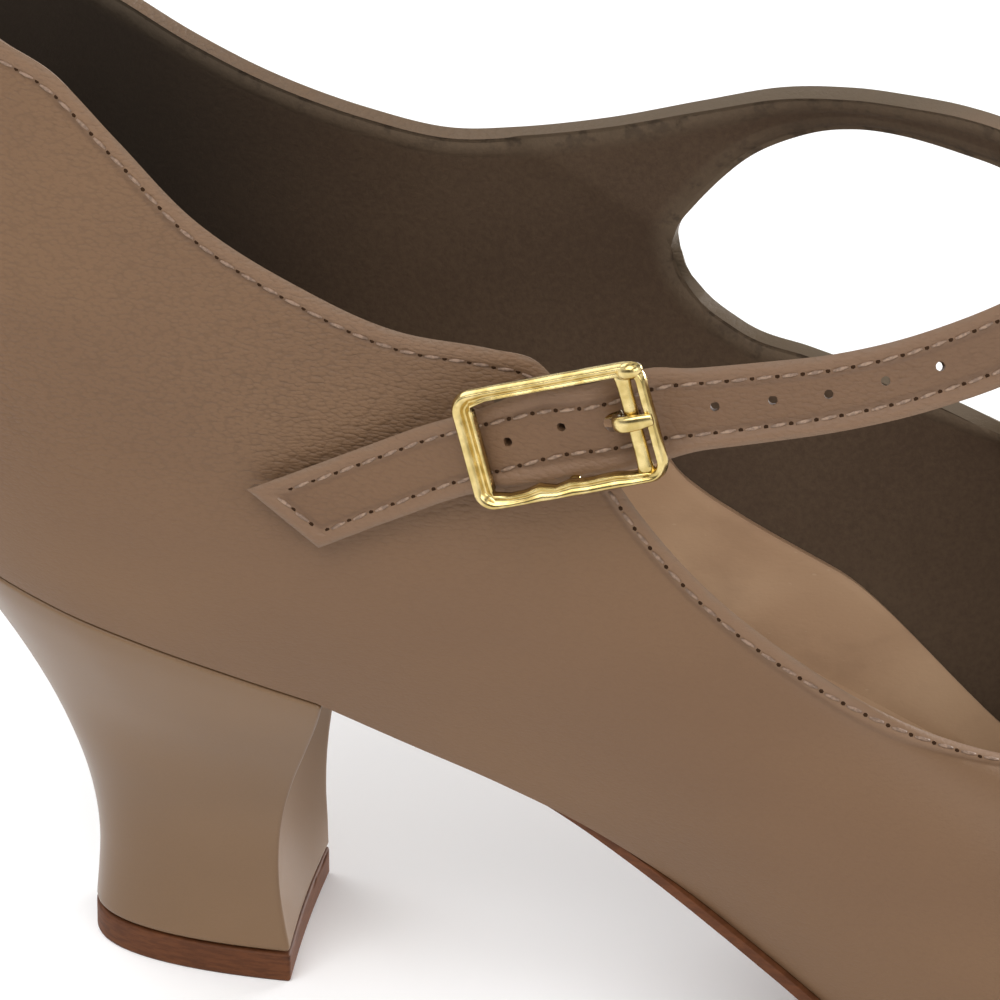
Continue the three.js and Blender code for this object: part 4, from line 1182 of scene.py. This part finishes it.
def make_outsole():
    steps, cells = 200, 24
    start = 0.35

    def rim(at, side):
        p = edge(at, side) + outward(at, side) * sole_margin(edge(at, side).x)
        p.x = max(p.x, SEAT_LENGTH + 1.2)
        return p

    def place(i, k):
        at = lerp(start, 0.999, k / steps)
        t = i / cells
        p = rim(at, 1).lerp(rim(at, -1), t)
        p.z = bottom(p.x, 1 - 2 * t) - GAP
        return p

    bm = bmesh.new()
    sheet(bm, cells, steps, place)
    face_up(bm, 1)
    copy = bmesh.ops.duplicate(bm, geom=bm.verts[:] + bm.edges[:] + bm.faces[:])["geom"]
    for v in [item for item in copy if isinstance(item, bmesh.types.BMVert)]:
        depth = sole_depth(v.co.x / MM + ORIGIN)
        v.co.z = max(v.co.z - depth * MM, 0.0)
    lower_faces = [item for item in copy if isinstance(item, bmesh.types.BMFace)]
    bmesh.ops.reverse_faces(bm, faces=lower_faces)
    bmesh.ops.bridge_loops(bm, edges=free_edges(bm))
    bmesh.ops.recalc_face_normals(bm, faces=bm.faces)
    outsole = finish_piece(bm, "outsole_leather", [SOLE_LEATHER], "outsole")
    round_edges(outsole, 0.35, 2, 50)


make_outsole()


# Heel.
def heel_ring(up, sides=40, front=30):
    """One level of the heel, a D with its straight side at the breast."""
    back, breast, half, hollow, ahead = heel_at(up)

    def bow(t):
        return math.sin(t**0.9 * math.pi / 2) ** 0.52

    points = []
    for s in range(sides + 1):
        t = s / sides
        points.append((lerp(back, breast, t**1.45), -half * bow(t)))
    for s in range(1, front):
        t = s / front
        x = breast + ahead * t - hollow * math.sin(math.pi * t)
        points.append((x, lerp(-half, half, t)))
    for s in range(sides, 0, -1):
        t = s / sides
        points.append((lerp(back, breast + ahead, t**1.45), half * bow(t)))
    return points


def seat_ring():
    """The heel's top level, out to the sole line of the seat."""
    _, breast, own, _, _ = heel_at(1)
    out = []
    for x, y in heel_ring(1):
        reach = clamp(x, 0, SEAT_LENGTH)
        _, outer, inner = outline_at(halve(0.0, 0.5, lambda at: outline_at(at)[0] < reach, 24))
        half = outer if y < 0 else inner
        if abs(x - breast) < 1e-6 or y == 0 or abs(y) < own * 0.999 and x > breast - 4:
            out.append((x, y / own * half))
        else:
            out.append((x, math.copysign(half, y)))
    return out


def make_heel():
    levels = 60
    seat = seat_ring()
    floor = LIFT + GAP
    rings = []
    for k in range(levels + 1):
        up = k / levels
        ring = heel_ring(up)
        blend = ease((up - 0.55) / 0.45)
        share = heel_at(up)[2] / heel_at(1)[2]
        line = []
        for (x, y), (_, seat_y) in zip(ring, seat):
            ceiling = HEEL_HEIGHT - SEAT_DROP * x / SEAT_LENGTH - GAP
            line.append(Vector((x, lerp(y, seat_y * share, blend), lerp(floor, ceiling, up))))
        rings.append(line)
    count = len(seat)
    bm = bmesh.new()
    sheet(bm, count, levels, lambda i, k: rings[k][i % count])
    close_ends(bm)
    heel = finish_piece(bm, "heel_cover", [HEEL_LEATHER], "heel_block")
    round_edges(heel, 0.5, 3, 40)


make_heel()


def make_lift():
    ring = heel_ring(0)
    count = len(ring)
    heights = (0.0, 0.3, 1.0, 1.7, 2.4, 3.1, LIFT)
    bm = bmesh.new()

    def place(i, k):
        x, y = ring[i % count]
        return Vector((x, y, heights[k]))

    sheet(bm, count, len(heights) - 1, place)
    close_ends(bm)
    lift = finish_piece(bm, "heel_top_piece", [LIFT_LEATHER], "heel_lift")
    round_edges(lift, 0.3, 2, 40)


make_lift()


# Buckle.
CLASP_AXES = strap_axes(BUCKLE_RUN)
FRAME_END = BUCKLE_LENGTH / 2 - 0.2


def clasp_point(u, w, h):
    """A point in the buckle's own sizes: u to the toe, w up, h out."""
    centre, along, across, out = CLASP_AXES
    return centre + along * (u + 0.25) + across * (w + 0.15 + 0.026 * u) + out * h


CORNER_RADIUS = 2.3
SCALLOPS = (-3.6, 0.6, 4.2)  # bumps on the lower side, from the frame's middle
END_BAR = FRAME_END - 2.5
BAR_LEVEL = -3.1  # the centre bar, under the strap
POST_FOOT = 4.3
POST_HEAD = 5.6


def frame_path(cells=10):
    """The frame's outer line: (u, w, direction out of the ring), round corners and sides."""
    corners = []
    for side_u, side_w, start in ((1, -1, -90), (1, 1, 0), (-1, 1, 90), (-1, -1, 180)):
        centre_u = side_u * (FRAME_END - CORNER_RADIUS)
        centre_w = side_w * (BUCKLE_WIDTH / 2 - CORNER_RADIUS)
        for n in range(cells + 1):
            angle = math.radians(start + 90 * n / cells)
            du, dw = math.cos(angle), math.sin(angle)
            corners.append((centre_u + du * CORNER_RADIUS, centre_w + dw * CORNER_RADIUS, du, dw))
    out = []
    for n, (u, w, du, dw) in enumerate(corners):
        next_u, next_w = corners[(n + 1) % len(corners)][:2]
        straight = math.hypot(next_u - u, next_w - w) > 2
        for s in range(cells if straight else 1):
            out.append((lerp(u, next_u, s / cells), lerp(w, next_w, s / cells), du, dw))
    return out


def make_frame():
    """Frame, end bar with its knob, and the centre bar on two posts under the strap."""
    path = frame_path()
    bm = bmesh.new()
    top, under = 22, 4
    middle_h = (FRAME_LOW + FRAME_HIGH) / 2
    half_h = (FRAME_HIGH - FRAME_LOW) / 2

    def place(i, k):
        u, w, du, dw = path[k % len(path)]
        left = ease((-u - FRAME_END + 3.2) / 2)
        right = ease((u - FRAME_END + 2.6) / 1.8)
        width = lerp(lerp(1.55, 2.5, left), 1.2, right)
        if dw < -0.9:
            width += 0.55 * sum(math.exp(-((u - at) ** 2)) for at in SCALLOPS)
        i %= top + under
        if i > top:
            share = lerp(1.0, 0.0, (i - top) / under)
            share, level = clamp(share * 1.2 - 0.1), -1.0
        else:
            share = i / top
            outer = clamp(share * width / 0.5)
            inner = clamp((1 - share) * width / 0.35)
            crown = math.sin(math.pi / 2 * outer) ** 0.7 * math.sin(math.pi / 2 * inner) ** 0.7
            depth = lerp(lerp(0.34, 0.85, left), 0.1, right)
            dip = depth * math.exp(-(((share - 0.6) / 0.17) ** 2))
            level = lerp(-0.3, 1.0, crown) - dip
        inward = -share * width
        return clasp_point(u + du * inward, w + dw * inward, middle_h + level * half_h)

    sheet(bm, top + under, len(path), place)
    weld(bm)

    def end_bar(i, k):
        ca, sa = round_bar(i, 16)
        flare = 1 + 0.35 * abs(2 * k / 12 - 1) ** 6
        half = BUCKLE_WIDTH / 2 - 0.9
        w = lerp(-half, half, k / 12)
        return clasp_point(END_BAR + 0.78 * flare * ca, w, middle_h - 0.05 + 0.62 * sa)

    def knob(i, k):
        ca, sa = round_bar(i, 16)
        rise = math.pi * (k / 8 - 0.5)
        reach = math.cos(rise) + 1e-4
        u = FRAME_END - 1.5 + 1.45 * reach * ca
        h = middle_h + 0.15 + 0.95 * math.sin(rise)
        return clasp_point(u, BUCKLE_WIDTH / 2 - 1 + reach * sa, h)

    def centre_bar(i, k):
        ca, sa = round_bar(i, 12)
        return clasp_point(0.5 * ca, lerp(-POST_FOOT, POST_FOOT, k / 8), BAR_LEVEL + 0.5 * sa)

    def post(side):
        def place_post(i, k):
            ca, sa = round_bar(i, 12)
            w = side * lerp(POST_FOOT, POST_HEAD, k / 6)
            h = lerp(BAR_LEVEL, middle_h - 0.3, (k / 6) ** 1.3)
            return clasp_point(0.6 * ca, w + 0.45 * sa, h)

        return place_post

    for sides, rows, shape in (
        (16, 12, end_bar), (16, 8, knob), (12, 8, centre_bar), (12, 6, post(-1)), (12, 6, post(1))
    ):
        sheet(bm, sides, rows, shape)
    close_ends(bm)
    finish_piece(bm, "buckle_frame_gold", [GOLD], "buckle_frame")


def make_prong():
    """A rod from the centre bar up through the hole and over both end bars."""
    # u, h and half width along it
    line = (
        (0.8, -2.9, 0.42), (2.6, -2.8, 0.5), (5.0, -2.6, 0.55), (5.9, -1.6, 0.6), (6.1, 0.2, 0.7),
        (6.4, 1.7, 0.82), (7.1, 2.35, 0.9), (8.0, 2.5, 0.88), (9.1, 2.45, 0.8), (10.0, 2.35, 0.7),
        (10.5, 2.3, 0.6),
    )
    rod = through(tuple((n, *row) for n, row in enumerate(line)))
    rows, sides = 40, 14
    bm = bmesh.new()

    def place(i, k):
        s = (len(line) - 1) * k / rows
        u, h, thick = rod(s)
        ahead = rod(min(s + 0.05, len(line) - 1))
        back = rod(max(s - 0.05, 0))
        direction = Vector((ahead[0] - back[0], ahead[1] - back[1])).normalized()
        ca, sa = round_bar(i, sides)
        off_h = 0.62 * thick * math.copysign(abs(sa) ** 0.8, sa)
        off_w = thick * math.copysign(abs(ca) ** 0.8, ca)
        return clasp_point(u - direction.y * off_h, off_w + 0.35 * ease(h), h + direction.x * off_h)

    sheet(bm, sides, rows, place)
    close_ends(bm)
    prong = finish_piece(bm, "buckle_prong_gold", [GOLD], "buckle_prong")
    round_edges(prong, 0.15, 2, 50)


make_frame()
make_prong()
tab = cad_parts["buckle_tab"]
for slot in tab.material_slots:
    slot.material = LINING


# Floor, light and camera.
def make_floor():
    bm = bmesh.new()
    bmesh.ops.create_grid(bm, x_segments=1, y_segments=1, size=6)
    material, n, shader = new_material("studio_floor_paint")
    paint = n.mix(n.noise(n.place(), 6.0, 1.0), (0.94, 0.94, 0.94, 1), (0.96, 0.96, 0.96, 1))
    finish(n, shader, paint, 0.9, 0.0)
    shader.inputs["Emission Color"].default_value = (1, 1, 1, 1)
    shader.inputs["Emission Strength"].default_value = 0.06
    floor = new_object(bm, "studio_floor", [material])


def area_light(name, place, target, size, power):
    data = bpy.data.lights.new(name, "AREA")
    data.shape = "RECTANGLE"
    data.size, data.size_y = size
    data.energy = power
    lamp = bpy.data.objects.new(name, data)
    bpy.context.collection.objects.link(lamp)
    lamp.location = place
    lamp.rotation_euler = (Vector(target) - Vector(place)).to_track_quat("-Z", "Y").to_euler()


def make_camera():
    data = bpy.data.cameras.new("photo_camera")
    data.lens = 376.2
    data.sensor_width = 36
    data.clip_start = 0.05
    data.clip_end = 40
    camera = bpy.data.objects.new("photo_camera", data)
    bpy.context.collection.objects.link(camera)
    camera.location = (0.19899, -0.94382, 0.60906)
    across = Vector((0.98481, 0.17365, 0))
    upward = Vector((-0.08683, 0.49241, 0.86603))
    back = across.cross(upward)
    camera.rotation_euler = Matrix((across, upward, back)).transposed().to_euler()
    bpy.context.scene.camera = camera


make_floor()
area_light("key_light", (-0.25, -0.75, 1.15), (0.03, 0, 0.05), (0.9, 0.9), 9.4)
area_light("side_light", (0.75, -0.75, 0.5), (0.02, 0, 0.03), (0.8, 0.5), 3.3)
area_light("breast_light", (0.75, 0.8, 0.13), (0.02, 0, 0.03), (0.5, 0.2), 12.5)
area_light("back_light", (-0.9, 0.6, 0.9), (0.0, 0, 0.05), (0.8, 0.8), 4.0)
world = bpy.data.worlds.new("studio")
world.use_nodes = True
studio = Nodes(world.node_tree)
look = studio.add("ShaderNodeTexCoord").outputs["Generated"]
look_y, look_z = studio.parts(look)[1:]
panels = studio.span(studio.noise(look, 2.4, 1.0), 0.44, 0.56)
front = studio.times(studio.span(look_y, -0.3, -0.7), studio.span(look_z, 0.6, 0.35))
panels = studio.times(panels, studio.math("MULTIPLY_ADD", front, -0.85, 1.0))
walls = studio.mix(panels, (0.12, 0.12, 0.13, 1), (1.0, 1.0, 1.0, 1))
background = world.node_tree.nodes["Background"]
studio.join(walls, background.inputs["Color"])
background.inputs["Strength"].default_value = 1.12
bpy.context.scene.world = world
bpy.context.scene.view_settings.view_transform = "Standard"
make_camera()
